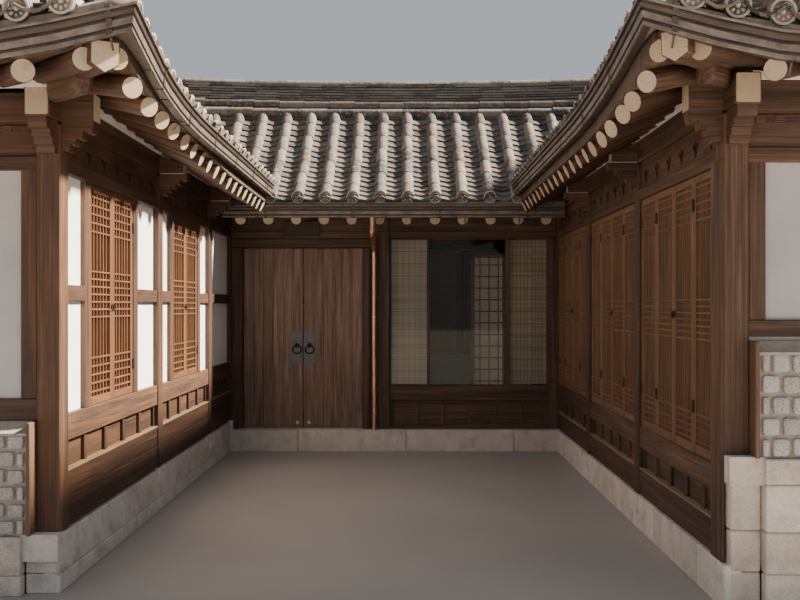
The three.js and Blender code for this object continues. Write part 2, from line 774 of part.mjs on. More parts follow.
for (const [name, wing] of Object.entries(wings)) {
  const cutters = wallSheets(wing, gap);
  const sheets = wallSheets(wing, 0);
  const frame = wingFrame(wing, Object.values(cutters));
  const underGateRoof = underGate(-gap, gap);
  place(`${name}_stone_base`, wingBase(wing), 'granite');
  place(`${name}_frame`, frame, 'timber');
  place(`${name}_floor`, wingFloor(wing), 'timber');
  place(`${name}_court_wall`, sheets.court, name === 'left' ? 'plaster' : 'timber');
  place(`${name}_street_wall`, sheets.street, 'plaster');
  place(`${name}_outer_wall`, sheets.outer, 'plaster');
  place(`${name}_back_wall`, sheets.back, 'plaster');
  const [w0, w1] = outerWindow(wing);
  const outerU = wingSpan - 72;
  place(`${name}_outer_window`, leafSet(
    wing, outerU, w0, w1, windowSill, windowHead, 2, 55, windowRails,
  ), 'lattice');
  wing.windows.forEach(([y0, y1], i) => {
    place(`${name}_window_${i + 1}`, leafSet(
      wing, 28, y0, y1, windowSill, windowHead, 2, 55, windowRails,
    ), 'lattice');
  });
  const deck = largest(wingDeck(wing, 0).subtract(underGateRoof));
  place(`${name}_roof_deck`, deck, 'tile');
  const deckRoom = wingDeck(wing, gap);
  place(`${name}_rafters`, largest(cut(wingRafters(wing), [deckRoom, wingPurlins(wing, gap)])), 'timber');
  place(`${name}_gables_and_ridge_beam`, largest(wingGables(wing).subtract(deckRoom)), 'plaster');
  const ridges = largest(wingRidges(wing).subtract(deckRoom).subtract(underGateRoof));
  place(`${name}_ridges`, ridges, 'tile');
  const section = wing.side > 0 ? gutterOutline : mirrored(gutterOutline);
  const gutter = largest(sweep(gutterPath(wing, gutterStart), section).subtract(underGateRoof));
  place(`${name}_gutter`, gutter, 'gutterMetal');
}

wings.right.lines.slice(0, 3).forEach((y, i) => {
  const [y0, y1] = [y + half + (i === 0 ? half : 0), wings.right.lines[i + 1] - half];
  place(`right_folding_doors_${i + 1}`, leafSet(
    wings.right, 28, y0, y1, 800, windowHead, 4, 50, [[800, 860], [windowHead - 60, windowHead]],
  ), 'lattice');
});

// Gate range: stone base with the masonry skirt behind, frame, floor and walls
const innerEdge = courtHalf - gap;
const backLine = 2400;
const baseEdge = courtHalf;
const bayEdges = [[-baseEdge, middleColumn[0] - gap], [middleColumn[1] + gap, baseEdge]];

place('gate_range_stone_base', cut(union([
  block(-baseEdge, baseEdge, -200, backLine + 100, 0, gateBase),
  ...bayEdges.map(([x0, x1]) => block(x0, x1, backLine - 60, backLine + 95, 0, backSkirt)),
]), [block(60, 1700, 200, 2200, -10, gateBase + 10)]), 'granite');

const gateFrameParts = [];
for (const y of [0, backLine]) {
  gateFrameParts.push(
    block(...middleColumn, y - half, y + half, gateBase, gateBeam + 10),
    block(-innerEdge, innerEdge, y - 60, y + 60, 2573, gateBeam + 5),
    block(-innerEdge, innerEdge, y - 50, y + 50, gateBeam, 2815),
    block(-innerEdge, innerEdge, y - half, y + half, 2810, gatePurlinTop),
  );
}
const gateCrest = gateTop(gateRidgeY - half) - deckThickness - 6;
gateFrameParts.push(
  block(-innerEdge, innerEdge, backLine - 60, backLine + 60, backSkirt + 7, backSkirt + 137),
  block(-innerEdge, innerEdge, backLine - 60, backLine + 60, ...midRail),
  block(-185, -65, -half, backLine + half, gateBeam, 2810),
  block(-185, -65, gateRidgeY - 60, gateRidgeY + 60, 2800, gateCrest - 50),
  block(-1900, 1900, gateRidgeY - half, gateRidgeY + half, gateCrest - 150, gateCrest),
  block(1879, innerEdge, -60, 60, gateBase, 2600),
  block(middleColumn[0], innerEdge, half - 10, half + 100, 400, roomFloor - floorBoard),
  block(middleColumn[0], innerEdge, 2240, 2330, 400, roomFloor - floorBoard),
  block(1870, innerEdge, 0, 2330, 400, roomFloor - floorBoard),
);
const backWall = (grow) => cut(
  block(-innerEdge - grow, innerEdge + grow, 2370 - grow, 2430 + grow, backSkirt - grow, 2624 + grow),
  [block(400 + grow, 1480 - grow, 2300, 2500, windowSill + grow, windowHead - 20 - grow)],
);
const backPosts = [285, 1480].map((x) => block(x, x + postWidth, 2345, 2455, backSkirt + 7, 2600));
const backOpening = block(400, 1480, 2300, 2500, windowSill, 2573);
const gateFrameSolid = cut(union([...gateFrameParts, ...backPosts]), [backWall(gap), backOpening]);
place('gate_range_frame', gateFrameSolid, 'timber');
place('gate_range_back_wall', backWall(0), 'plaster');
place('back_window', union([
  block(400, 1480, 2385, 2401, windowSill, windowHead - 20),
  ...[400, 885, 940, 1425].map((x) => block(x, x + 55, 2380, 2422, windowSill, windowHead - 20)),
  block(400, 1480, 2380, 2422, windowSill, windowSill + 55),
  block(400, 1480, 2380, 2422, windowHead - 75, windowHead - 20),
]), 'lattice');
place('gate_range_floor', block(
  middleColumn[1] + 20, innerEdge - 2, half + 5, 2320, roomFloor - floorBoard, roomFloor,
), 'timber');

// Gate: posts and head, two plank leaves, and an iron plate with its ring on each
place('gate_frame', union([
  block(-innerEdge, gateLeft - hingeClearance, -60, 60, gateBase, 2573),
  block(gateRight + hingeClearance, -295, -60, 60, gateBase, 2573),
  block(-300, middleColumn[0] - gap, -20, 20, gateBase, 2573),
  block(-innerEdge, middleColumn[0] - gap, -60, 60, gateHead + hingeClearance, 2573),
  ...pivotBlocks(gateLeft - hingeClearance - 10, gateLeft + 40),
  ...pivotBlocks(gateRight - 40, gateRight + hingeClearance + 10),
]), 'timber');

// Blocks at the foot and the head of a leaf that carry its pivots
function pivotBlocks(x0, x1) {
  return [
    block(x0, x1, 15, leafBack, gateBase, gateSill - gap),
    block(x0, x1, 15, leafBack, gateHead + gap, gateHead + 20),
  ];
}

const meeting = (gateLeft + gateRight) / 2;
const leafEdges = {
  left: [gateLeft, meeting - meetingGap / 2],
  right: [meeting + meetingGap / 2, gateRight],
};
for (const [name, [x0, x1]] of Object.entries(leafEdges)) {
  place(`gate_${name}_leaf`, block(x0, x1, leafFront, leafBack, gateSill, gateHead), 'gatePlanks');
  const way = name === 'left' ? -1 : 1;
  const plateX = meeting + way * 77;
  const ring = new THREE.TorusGeometry(50, 7, 6, 20);
  ring.rotateX(Math.PI / 2).translate(plateX, leafFront - 14, 1220);
  const boss = new THREE.CylinderGeometry(15, 15, 20, 10);
  boss.translate(plateX, leafFront - 12, 1270);
  place(`gate_${name}_ring_plate`, union([
    block(plateX - 65, plateX + 65, leafFront - 4, leafFront, 1040, 1450),
    solidOf(boss),
    solidOf(ring),
  ]), 'iron');
}
place('board_over_gate', block(-1335, -895, -90, -60, 2600, 2780)
  .add(block(-1150, -1080, -65, -50, 2680, 2720)), 'timber');

// Big window: frame with two mullions, one pane, two blinds and the panel under it
const glass = (grow) => block(
  windowLeft - 8 - grow, windowRight + 8 + grow, -glassHalf - grow, glassHalf + grow,
  782 - grow, paneHead + 8 + grow,
);
place('window_frame', cut(union([
  block(middleColumn[1], 1879, -50, 50, roomFloor, 790),
  block(middleColumn[1], 1879, -35, 35, paneHead, 2573),
  block(middleColumn[1], windowLeft, -35, 35, 780, 2570),
  block(windowRight, 1879, -35, 35, 780, 2570),
  ...mullions.map(([x0, x1]) => block(x0, x1, -35, 35, 780, 2570)),
]), [glass(gap)]), 'timber');
place('window_glass', glass(0), 'glass');
place('window_left_blind', block(windowLeft + 4, mullions[0][0] - 4, 14, 22, 800, paneHead), 'blind');
place('window_right_blind', block(mullions[1][1] + 4, windowRight - 4, 14, 22, 800, paneHead), 'blind');
place('window_dado', block(middleColumn[1], 1879, -30, 0, gateBase, roomFloor), 'timber');
place('room_screen', union([
  block(1010, 1860, 1100, 1112, roomFloor, 2450),
  ...[1010, 1430, 1810].map((x) => block(x, x + 50, 1090, 1125, roomFloor, 2450)),
  block(1010, 1860, 1090, 1125, roomFloor, 680),
  block(1010, 1860, 1090, 1125, 2390, 2450),
]), 'lattice');

// Roof of the gate range
const gateRoof = underGate(0, 0).subtract(underGate(deckThickness, 20));
place('gate_range_roof_deck', largest(gateRoof), 'tile');
const besideGate = [wings.left, wings.right].map((wing) => wingDeck(wing, gap));
place('gate_range_ridge', largest(cut(gateRidge(), [underGate(-gap, gap), ...besideGate])), 'tile');

function gateRafters(eaveY, inward, count) {
  const outerY = eaveY + inward * 25;
  const run = Math.abs(eaveY) === Math.abs(gateEaveY) ? -half - outerY : outerY - backLine - half;
  const z = gatePurlinTop + gap + 55 - gateRafterRise * run;
  const innerY = outerY + inward * (run + 225);
  const stations = Array.from({ length: count }, (_, i) => {
    const x = (i - (count - 1) / 2) * 320;
    return {
      outer: new THREE.Vector3(x, outerY, z),
      inner: new THREE.Vector3(x, innerY, z + gateRafterRise * (run + 225)),
      tangent: new THREE.Vector2(1, 0),
      innerHalf: rafterHalf,
      topOuter: gateTop(outerY) - deckThickness - gap - z,
    };
  });
  return rafterStrip(stations);
}
const gateBackEaveY = 2 * gateRidgeY - gateEaveY;
place('gate_range_front_rafters', gateRafters(gateEaveY, 1, 12), 'timber');
place('gate_range_back_rafters', gateRafters(gateBackEaveY, -1, 9), 'timber');

function straightGutter(y, way, reach) {
  const ends = [new THREE.Vector3(-reach, y, 2900), new THREE.Vector3(reach, y, 2900)];
  return sweep(ends, way < 0 ? gutterOutline : mirrored(gutterOutline));
}
place('gate_range_front_gutter', straightGutter(gateEaveY, -1, courtHalf - 10), 'gutterMetal');
place('gate_range_back_gutter', straightGutter(gateBackEaveY, 1, backEaveHalf), 'gutterMetal');

// Copper downpipe: a wide head under the gutter, a slanted neck, and the pipe to the ground
function pipe(stations, sides) {
  const outline = outlineOf(Array.from({ length: sides }, (_, i) => {
    const angle = (2 * Math.PI * i) / sides;
    return [Math.cos(angle), Math.sin(angle)];
  }));
  const rings = stations.map(({ at, radius }, i) => {
    const before = stations[Math.max(i - 1, 0)].at;
    const after = stations[Math.min(i + 1, stations.length - 1)].at;
    const along = after.clone().sub(before).normalize();
    const across = new THREE.Vector3(1, 0, 0);
    const up = along.clone().cross(across).normalize();
    return outline.map((point) => at.clone()
      .addScaledVector(across, point.x * radius)
      .addScaledVector(up, point.y * radius));
  });
  return loft(rings, outline);
}
const pipeX = -235;
place('downpipe', pipe([
  { at: new THREE.Vector3(pipeX, -760, 2759.7), radius: 38 },
  { at: new THREE.Vector3(pipeX, -760, 2600), radius: 38 },
  { at: new THREE.Vector3(pipeX, -745, 2560), radius: 30 },
  { at: new THREE.Vector3(pipeX, -180, 2440), radius: 30 },
  { at: new THREE.Vector3(pipeX, -140, 2390), radius: 30 },
  { at: new THREE.Vector3(pipeX, -140, gateBase), radius: 30 },
], 10), 'copper');

export default house;
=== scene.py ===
import math

import bpy
import numpy as np
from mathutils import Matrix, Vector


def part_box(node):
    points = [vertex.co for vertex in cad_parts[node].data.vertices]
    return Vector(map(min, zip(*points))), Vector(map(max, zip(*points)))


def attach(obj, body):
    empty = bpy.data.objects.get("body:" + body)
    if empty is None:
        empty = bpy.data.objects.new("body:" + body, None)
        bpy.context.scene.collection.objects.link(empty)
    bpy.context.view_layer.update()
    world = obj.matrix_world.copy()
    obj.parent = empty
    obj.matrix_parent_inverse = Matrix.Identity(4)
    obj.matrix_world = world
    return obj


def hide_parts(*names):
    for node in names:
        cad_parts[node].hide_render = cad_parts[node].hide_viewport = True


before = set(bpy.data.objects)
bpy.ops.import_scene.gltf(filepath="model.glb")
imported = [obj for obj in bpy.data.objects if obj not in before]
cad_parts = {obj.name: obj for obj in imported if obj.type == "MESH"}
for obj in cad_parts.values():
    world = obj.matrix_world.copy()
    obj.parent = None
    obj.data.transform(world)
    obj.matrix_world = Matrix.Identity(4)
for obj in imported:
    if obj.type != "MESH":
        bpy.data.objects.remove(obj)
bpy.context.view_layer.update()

# View, light and floor
# The house is seen from the street at eye level, square to the gate. A low warm sun comes
# over the right wing into a pale sky light, and the floor is plain.
focal_pixels = 1000
picture_width, picture_height = 800, 600
horizon_x, horizon_y = 405, 306
eye = (0.135, -12.2, 1.75)

camera_data = bpy.data.cameras.new("street_view")
camera_data.sensor_fit = "HORIZONTAL"
camera_data.lens = camera_data.sensor_width * focal_pixels / picture_width
camera_data.shift_x = (picture_width / 2 - horizon_x) / picture_width
camera_data.shift_y = (horizon_y - picture_height / 2) / picture_width
camera = bpy.data.objects.new("street_view", camera_data)
camera.location = eye
camera.rotation_euler = (math.pi / 2, 0, 0)
bpy.context.scene.collection.objects.link(camera)
bpy.context.scene.camera = camera

sun_data = bpy.data.lights.new("late_sun", "SUN")
sun_data.energy = 24.0
sun_data.angle = math.radians(4)
sun_data.color = (1.0, 0.86, 0.70)
sun = bpy.data.objects.new("late_sun", sun_data)
sun.rotation_euler = (math.radians(-9), math.radians(52), 0)
bpy.context.scene.collection.objects.link(sun)

sky = bpy.data.worlds.new("pale_sky")
sky.use_nodes = True
sky.node_tree.nodes["Background"].inputs["Color"].default_value = (0.80, 0.85, 0.92, 1)
sky.node_tree.nodes["Background"].inputs["Strength"].default_value = 0.57
bpy.context.scene.world = sky


class Wire:
    """A socket of a material's nodes; sums and products of wires add the nodes for them."""

    def __init__(self, tree, socket=None):
        self.tree = tree
        self.socket = socket

    def node(self, kind, settings=None, sockets=None, output=0):
        node = self.tree.nodes.new(kind)
        for key, value in (settings or {}).items():
            if key == "stops":
                set_stops(node.color_ramp, value)
            else:
                setattr(node, key, value)
        for key, value in (sockets or {}).items():
            self.join(value, node.inputs[key])
        return Wire(self.tree, node.outputs[output])

    def join(self, value, socket):
        if isinstance(value, Wire):
            self.tree.links.new(value.socket, socket)
        else:
            socket.default_value = value

    def math(self, operation, a, b):
        return self.node("ShaderNodeMath", {"operation": operation}, {0: a, 1: b})

    def __add__(self, other):
        return self.math("ADD", self, other)

    def __mul__(self, other):
        return self.math("MULTIPLY", self, other)


def set_stops(ramp, stops):
    while len(ramp.elements) > 1:
        ramp.elements.remove(ramp.elements[-1])
    for i, (place, colour) in enumerate(stops):
        element = ramp.elements[0] if i == 0 else ramp.elements.new(place)
        element.position = place
        element.color = (*colour, 1) if isinstance(colour, tuple) else (colour, colour, colour, 1)


def finish(name, roughness=0.7, metallic=0.0):
    """A new material, a wire in its nodes and the sockets of its shader."""
    material = bpy.data.materials.new(name)
    material.use_nodes = True
    sockets = material.node_tree.nodes["Principled BSDF"].inputs
    sockets["Roughness"].default_value = roughness
    sockets["Metallic"].default_value = metallic
    return material, Wire(material.node_tree), sockets


def ramp(wire, value, stops):
    return wire.node("ShaderNodeValToRGB", {"stops": stops}, {"Fac": value})


def noise(wire, vector, scale, detail=3.0, roughness=0.5, distortion=0.0):
    sockets = {
        "Vector": vector, "Scale": scale, "Detail": detail,
        "Roughness": roughness, "Distortion": distortion,
    }
    return wire.node("ShaderNodeTexNoise", {}, sockets)


def object_place(wire):
    return wire.node("ShaderNodeTexCoord", output="Object")


floor_material, wire, sockets = finish("pale_floor", roughness=0.9)
cloud = noise(wire, object_place(wire), 0.6, 4)
shade = ramp(wire, cloud, [(0.3, (0.36, 0.33, 0.305)), (0.7, (0.41, 0.375, 0.345))])
wire.join(shade, sockets["Base Color"])
floor_mesh = bpy.data.meshes.new("floor")
floor_reach = 60
corners = [(x * floor_reach, y * floor_reach, 0) for x, y in ((-1, -1), (1, -1), (1, 1), (-1, 1))]
floor_mesh.from_pydata(corners, [], [(0, 1, 2, 3)])
floor_mesh.materials.append(floor_material)
floor = bpy.data.objects.new("floor", floor_mesh)
bpy.context.scene.collection.objects.link(floor)

# Stone bases and masonry skirts
# Split granite courses stand on a mortar core, with a wider footing stone under each corner
# column. Street, outer and back walls have a skirt of squared cobbles pressed into beige
# mortar, closed by a hollowed mortar coping and by a brown board against each column.


def mixed(wire, factor, a, b, how="MIX"):
    colours = [(*c, 1) if isinstance(c, tuple) and len(c) == 3 else c for c in (a, b)]
    settings = {"data_type": "RGBA", "blend_type": how}
    return wire.node("ShaderNodeMix", settings, {0: factor, 6: colours[0], 7: colours[1]}, 2)


def stretched(wire, vector, scale):
    return wire.node("ShaderNodeVectorMath", {"operation": "MULTIPLY"}, {0: vector, 1: scale})


def relief(wire, sockets, height, distance):
    sockets_of_bump = {"Height": height, "Distance": distance, "Strength": 1.0}
    wire.join(wire.node("ShaderNodeBump", {}, sockets_of_bump), sockets["Normal"])


def grain_of(wire):
    """The place on a piece, along, across and up it, each piece with its own start."""
    return wire.node("ShaderNodeAttribute", {"attribute_name": "grain"}, output=1)


def tone_of(wire):
    """A number from 0 to 1 that each piece of a heap keeps for itself."""
    return wire.node("ShaderNodeAttribute", {"attribute_name": "tone"}, output=2)


def coat(name, roughness, pattern, stops, toned=None, bump=None, metallic=0.0, place=grain_of):
    """A finish: noise through a ramp, darkened a little piece by piece, with a relief.

    A pattern is a noise's scale, detail, roughness and distortion, and a scale of three
    numbers stretches the place first. A bump is its depth and, if it has one, its own pattern.
    """
    material, wire, sockets = finish(name, roughness, metallic)

    def drawn(scale, *rest):
        where = place(wire)
        if isinstance(scale, tuple):
            where, scale = stretched(wire, where, scale), 1.0
        return noise(wire, where, scale, *rest)

    main = drawn(*pattern)
    bed = ramp(wire, main, stops)
    if toned:
        share, shade = toned
        bed = mixed(wire, tone_of(wire) * share, bed, shade, "MULTIPLY")
    wire.join(bed, sockets["Base Color"])
    if bump:
        depth, *own = bump
        relief(wire, sockets, drawn(*own) if own else main, depth)
    return material


def plain_coat(name, colour, roughness, metallic=0.0):
    material, _, sockets = finish(name, roughness, metallic)
    sockets["Base Color"].default_value = (*colour, 1)
    return material


def unit(vector):
    return vector / np.linalg.norm(vector)


def upward(z):
    return np.array([0, 0, z])


class Heap:
    """Pieces that are joined into one mesh, each with its own grain and tone."""

    def __init__(self, seed, wing=None):
        self.wing = wing
        self.random = np.random.default_rng(seed)
        self.count = 0
        self.points, self.faces, self.paints, self.grains, self.tones = [], [], [], [], []

    def between(self, low, high):
        return low + (high - low) * self.random.random()

    def add(self, points, faces, paints, grain):
        points = np.asarray(points, float)
        self.points.append(points)
        self.grains.append(np.asarray(grain, float) + 20 * self.random.random(3))
        self.tones.append(np.full(len(points), self.random.random()))
        self.faces.extend([tuple(i + self.count for i in face) for face in faces])
        self.paints.extend(paints if isinstance(paints, list) else [paints] * len(faces))
        self.count += len(points)

    def put(self, u, y, z, *rest, **more):
        """A block in the heap's wing, between two places out from the court, along and up."""
        block(self, at(self.wing, u[0], y[0], z[0]), at(self.wing, u[1], y[1], z[1]), *rest, **more)

    def build(self, name, materials, slot, *nodes, body="house", crease=35):
        mesh = bpy.data.meshes.new(name)
        mesh.from_pydata(np.concatenate(self.points).tolist(), [], self.faces, shade_flat=False)
        for material in materials:
            mesh.materials.append(material)
        mesh.polygons.foreach_set("material_index", self.paints)
        grain = mesh.attributes.new("grain", "FLOAT_VECTOR", "POINT")
        grain.data.foreach_set("vector", np.concatenate(self.grains).ravel())
        tone = mesh.attributes.new("tone", "FLOAT", "POINT")
        tone.data.foreach_set("value", np.concatenate(self.tones))
        mesh.set_sharp_from_angle(angle=math.radians(crease))
        mesh.update()
        piece = bpy.data.objects.new(name, mesh)
        bpy.context.scene.collection.objects.link(piece)
        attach(piece, body)
        if nodes:
            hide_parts(*nodes)
        return piece


def loft(heap, rings, paint=0, end_paint=None, grain=None):
    """A closed skin through rings of points of one count, with both ends closed."""
    count = len(rings[0])
    rings = [np.asarray(ring, float) for ring in rings]
    faces = []
    for r in range(len(rings) - 1):
        for i in range(count):
            a, b = r * count + i, r * count + (i + 1) % count
            faces.append((a, b, b + count, a + count))
    last = (len(rings) - 1) * count
    faces += [tuple(range(count - 1, -1, -1)), tuple(range(last, last + count))]
    paints = [paint] * len(faces)
    if end_paint is not None:
        paints[-2:] = [end_paint] * 2
    ring = rings[0]
    spin = np.cross(ring - ring.mean(0), np.roll(ring, -1, 0) - ring.mean(0)).sum(0)
    if np.dot(spin, rings[-1].mean(0) - ring.mean(0)) < 0:
        faces = [face[::-1] for face in faces]
    heap.add(np.concatenate(rings), faces, paints, np.concatenate(grain if grain else rings))


def rectangle(width, height, chamfer=0.0):
    w, h, c = width / 2, height / 2, min(chamfer, width / 3, height / 3)
    if c == 0:
        return [(-w, -h), (w, -h), (w, h), (-w, h)]
    return [(c - w, -h), (w - c, -h), (w, c - h), (w, h - c),
            (w - c, h), (c - w, h), (-w, h - c), (-w, c - h)]


def circle(radius, sides=12):
    angles = [2 * math.pi * (i + 0.5) / sides for i in range(sides)]
    return [(radius * math.cos(a), radius * math.sin(a)) for a in angles]


def member(heap, start, end, outline, up=(0, 0, 1), chamfer=0.004, paint=0, end_paint=None):
    """A straight member: an outline of (across, up) points run from start to end."""
    start, end = np.asarray(start, float), np.asarray(end, float)
    length = np.linalg.norm(end - start)
    along = (end - start) / length
    across = unit(np.cross(along, up))
    over = np.cross(across, along)
    outline = np.asarray(outline, float)
    middle = (outline.max(0) + outline.min(0)) / 2
    reach = (outline.max(0) - outline.min(0)) / 2
    chamfer = min(chamfer, length / 3)
    shrunk = middle + (outline - middle) * (1 - np.minimum(chamfer / reach, 0.5))
    stations = [(0, shrunk), (chamfer, outline), (length - chamfer, outline), (length, shrunk)]
    if chamfer == 0:
        stations = stations[1:3]
    rings = [start + along * s + o @ (across, over) for s, o in stations]
    grain = [np.column_stack([np.full(len(o), s), o]) for s, o in stations]
    loft(heap, rings, paint, end_paint, grain)


def block(heap, low, high, chamfer=0.004, paint=0, end_paint=None, run=None):
    """A squared block between two corners, its grain along run or its longest side."""
    low, high = np.minimum(low, high), np.maximum(low, high)
    size = high - low
    run = int(np.argmax(size)) if run is None else run
    start, end = (low + high) / 2, (low + high) / 2
    start[run], end[run] = low[run], high[run]
    up = (0, 1, 0) if run == 2 else (0, 0, 1)
    across, height = {0: (1, 2), 1: (0, 2), 2: (0, 1)}[run]
    outline = rectangle(size[across], size[height], chamfer)
    member(heap, start, end, outline, up, chamfer, paint, end_paint)


court_half = 1.975
wing_span = 2.7
column = 0.15
wings = {
    "left": {
        "side": -1, "lines": (-6.0, -3.55, -1.32, 0, 2.4), "base": 0.36, "street_base": 0.36,
        "skirt_top": 1.043, "inset": 0.0, "court_courses": (0, 0.11, 0.36),
        "street_courses": (0, 0.12, 0.36), "lift": 0.165, "bulge": 0.150, "floor": 0.60,
        "court_rails": ((0.36, 0.54), (0.548, 0.71), (0.90, 1.07)), "panel": (0.71, 0.90),
        "street_rail": (1.05, 1.18), "court_windows": ((-5.43, -4.35), (-3.01, -1.93)),
    },
    "right": {
        "side": 1, "lines": (-6.35, -4.233, -2.117, 0, 2.4), "base": 0.26, "street_base": 0.883,
        "skirt_top": 1.549, "inset": 0.02, "court_courses": (0, 0.26),
        "street_courses": (0, 0.223, 0.464, 0.734, 0.883), "lift": 0.180, "bulge": 0.045, "floor": 0.76,
        "court_rails": ((0.26, 0.464), (0.629, 0.80)), "panel": (0.464, 0.629),
        "street_rail": (1.572, 1.67), "court_windows": (),
    },
}
for wing in wings.values():
    middle = (wing["lines"][1] + wing["lines"][2]) / 2
    wing["outer_windows"] = ((middle - 0.54, middle + 0.54),)


def at(wing, u, y, z):
    """A place in a wing: u runs outward from the face of its courtyard wall."""
    return np.array([wing["side"] * (court_half + u), y, z])


stone_joint, stone_depth = 0.008, 0.10


def course(heap, a, b, inward, levels, length):
    """Courses of squared stones along a face from a to b, laid to a depth behind it."""
    a, b, inward = np.array(a, float), np.array(b, float), np.array(inward, float)
    total = np.linalg.norm(b - a)
    for row, (z0, z1) in enumerate(zip(levels, levels[1:])):
        s = 0.0
        step = length * heap.between(0.55, 1.0)
        while s < total - 1e-6:
            e = s + step if total - s - step >= length * 0.3 else total
            centre = inward * (stone_depth / 2 + heap.between(0.0, 0.004))
            start = a + (b - a) * (s + stone_joint / 2) / total + centre
            end = a + (b - a) * (e - stone_joint / 2) / total + centre
            z = (z0 + z1) / 2
            outline = rectangle(stone_depth, z1 - z0 - (stone_joint if z0 else 0), 0.007)
            member(heap, (*start, z), (*end, z), outline, chamfer=0.006)
            s, step = e, length * heap.between(0.7, 1.25)


cobble_width, cobble_height, cobble_mortar, cobble_proud = 0.097, 0.092, 0.020, 0.030
coping_depth = 0.078


def cobble(heap, centre, outward, across, width, height):
    """One squared cobble with a rounded, slightly domed face."""
    flat, turn = 0.6, 0.91
    shape = [(-1, -flat), (-turn, -turn), (-flat, -1), (flat, -1), (turn, -turn), (1, -flat),
             (1, flat), (turn, turn), (flat, 1), (-flat, 1), (-turn, turn), (-1, flat)]
    wobble = [heap.between(0.93, 1.03) for _ in shape]
    rings = []
    for depth, scale in ((-0.01, 1.0), (0.5, 0.99), (0.85, 0.93), (1.0, 0.76)):
        out = outward * depth * cobble_proud * heap.between(0.95, 1.0)
        rings.append([
            centre + out + across * (p[0] * w * scale * width / 2)
            + upward(1) * (p[1] * w * scale * height / 2)
            for p, w in zip(shape, wobble)
        ])
    loft(heap, rings, 1)


def cobble_skirt(heap, a, b, outward, z0, z1):
    """Rows of cobbles in running bond on a mortar face from a to b, up to the coping."""
    a, b, outward = np.array([*a, 0.0]), np.array([*b, 0.0]), np.array([*outward, 0.0])
    total = np.linalg.norm(b - a)
    across = (b - a) / total
    height = z1 - 0.066 - z0
    rows = round(height / (cobble_height + cobble_mortar))
    row_pitch = height / rows
    count = round((total - cobble_mortar) / (cobble_width + cobble_mortar))
    pitch = (total - cobble_mortar) / count
    for row in range(rows):
        z = z0 + (row + 0.5) * row_pitch
        shift = 0 if row % 2 else 0.5
        for i in range(count + (1 if shift else 0)):
            left = max(cobble_mortar / 2 + (i - shift) * pitch, cobble_mortar / 2)
            right = min(cobble_mortar / 2 + (i + 1 - shift) * pitch, total - cobble_mortar / 2)
            width = right - left - cobble_mortar
            if width < 0.02:
                continue
            centre = a + across * (left + right) / 2 + upward(z + heap.between(-0.003, 0.003))
            cobble(heap, centre, outward, across, width, row_pitch - cobble_mortar)


def hollow_coping(heap, a, b, outward, reach, top):
    """The mortar slope that closes a skirt, hollowed from the rail down to its face."""
    outward = np.array([*outward, 0.0])
    hollow = [(0, 0), (0.25, 0.022), (0.55, 0.044), (0.85, 0.057), (1, 0.062)]
    hollow += [(1, coping_depth), (0, coping_depth)]
    rings = [
        [np.array([*end, top - drop]) + outward * (share - 1) * reach for share, drop in hollow]
        for end in (a, b)
    ]
    loft(heap, rings, 2)


def skirt(heap, ends, outward, z0, top, mortar_depth, board_depth, reach, turned=False):
    """A skirt whose face meets a column at both ends: mortar, cobbles, coping and two boards."""
    a, b = (np.array(end, float) for end in ends)
    outward = np.array(outward, float)
    along = unit(b - a)

    def slab(start, end, proud, depth, z, *rest):
        block(heap, (*(start + outward * proud), z[0]), (*(end - outward * depth), z[1]), *rest)

    levels = (z0 - 0.02, top - coping_depth)
    start, end = a + along * behind_board, b - along * behind_board
    slab(start, end, -cobble_proud, mortar_depth, levels, 0, 2)
    start, end = a + along * board, b - along * board
    if turned:
        start, end = end, start
    bed_line = [place - outward * cobble_proud for place in (start, end)]
    cobble_skirt(heap, *bed_line, outward, z0, top)
    hollow_coping(heap, start, end, outward, reach, top)
    for start, end in ((a, a + along * board), (b - along * board, b)):
        slab(start, end, 0.004, board_depth, (z0, top), 0.004, 3, None, 2)


granite, wire, sockets = finish("split_granite", roughness=0.85)
grain, tone = grain_of(wire), tone_of(wire)
speckle = noise(wire, grain, 150, 2, 0.6)
patch = noise(wire, grain, 4, 4)
bed = ramp(wire, speckle * 0.62 + patch * 0.38, [
    (0.28, (0.34, 0.315, 0.285)), (0.42, (0.58, 0.535, 0.485)), (0.55, (0.70, 0.65, 0.60)),
    (0.72, (0.87, 0.83, 0.78)),
])
warm = mixed(wire, ramp(wire, tone, [(0.2, 0.0), (1.0, 0.5)]), bed, (0.78, 0.71, 0.65), "MULTIPLY")
dirt = ramp(wire, noise(wire, grain, 9, 4), [(0.5, 0.0), (0.75, 0.35)])
wire.join(mixed(wire, dirt, warm, (0.13, 0.11, 0.09)), sockets["Base Color"])
relief(wire, sockets, speckle * 0.35 + noise(wire, grain, 22, 5, 0.65), 0.006)

cobblestone = coat(
    "grey_cobblestone", 0.85, (210, 2, 0.7),
    [(0.34, (0.15, 0.148, 0.145)), (0.46, (0.43, 0.43, 0.425)), (0.62, (0.67, 0.667, 0.66))],
    toned=(0.5, (0.62, 0.58, 0.54)), bump=(0.005, 60, 5, 0.65),
)
skirt_mortar = coat(
    "beige_mortar", 0.95, (30, 6, 0.65), [(0.3, (0.31, 0.275, 0.23)), (0.7, (0.47, 0.42, 0.36))],
    bump=(0.004, 90, 5, 0.7),
)
edge_board = coat(
    "dark_edge_board", 0.6, ((3, 60, 60), 5, 0.6, 0.4),
    [(0.3, (0.085, 0.048, 0.029)), (0.7, (0.185, 0.106, 0.063))], bump=(0.002,),
)

base_materials = [granite, cobblestone, skirt_mortar, edge_board]
core = 0.012
back_skirt = 1.043
footing_height = 0.155
board, behind_board = 0.024, 0.01
column_gap = 0.0003

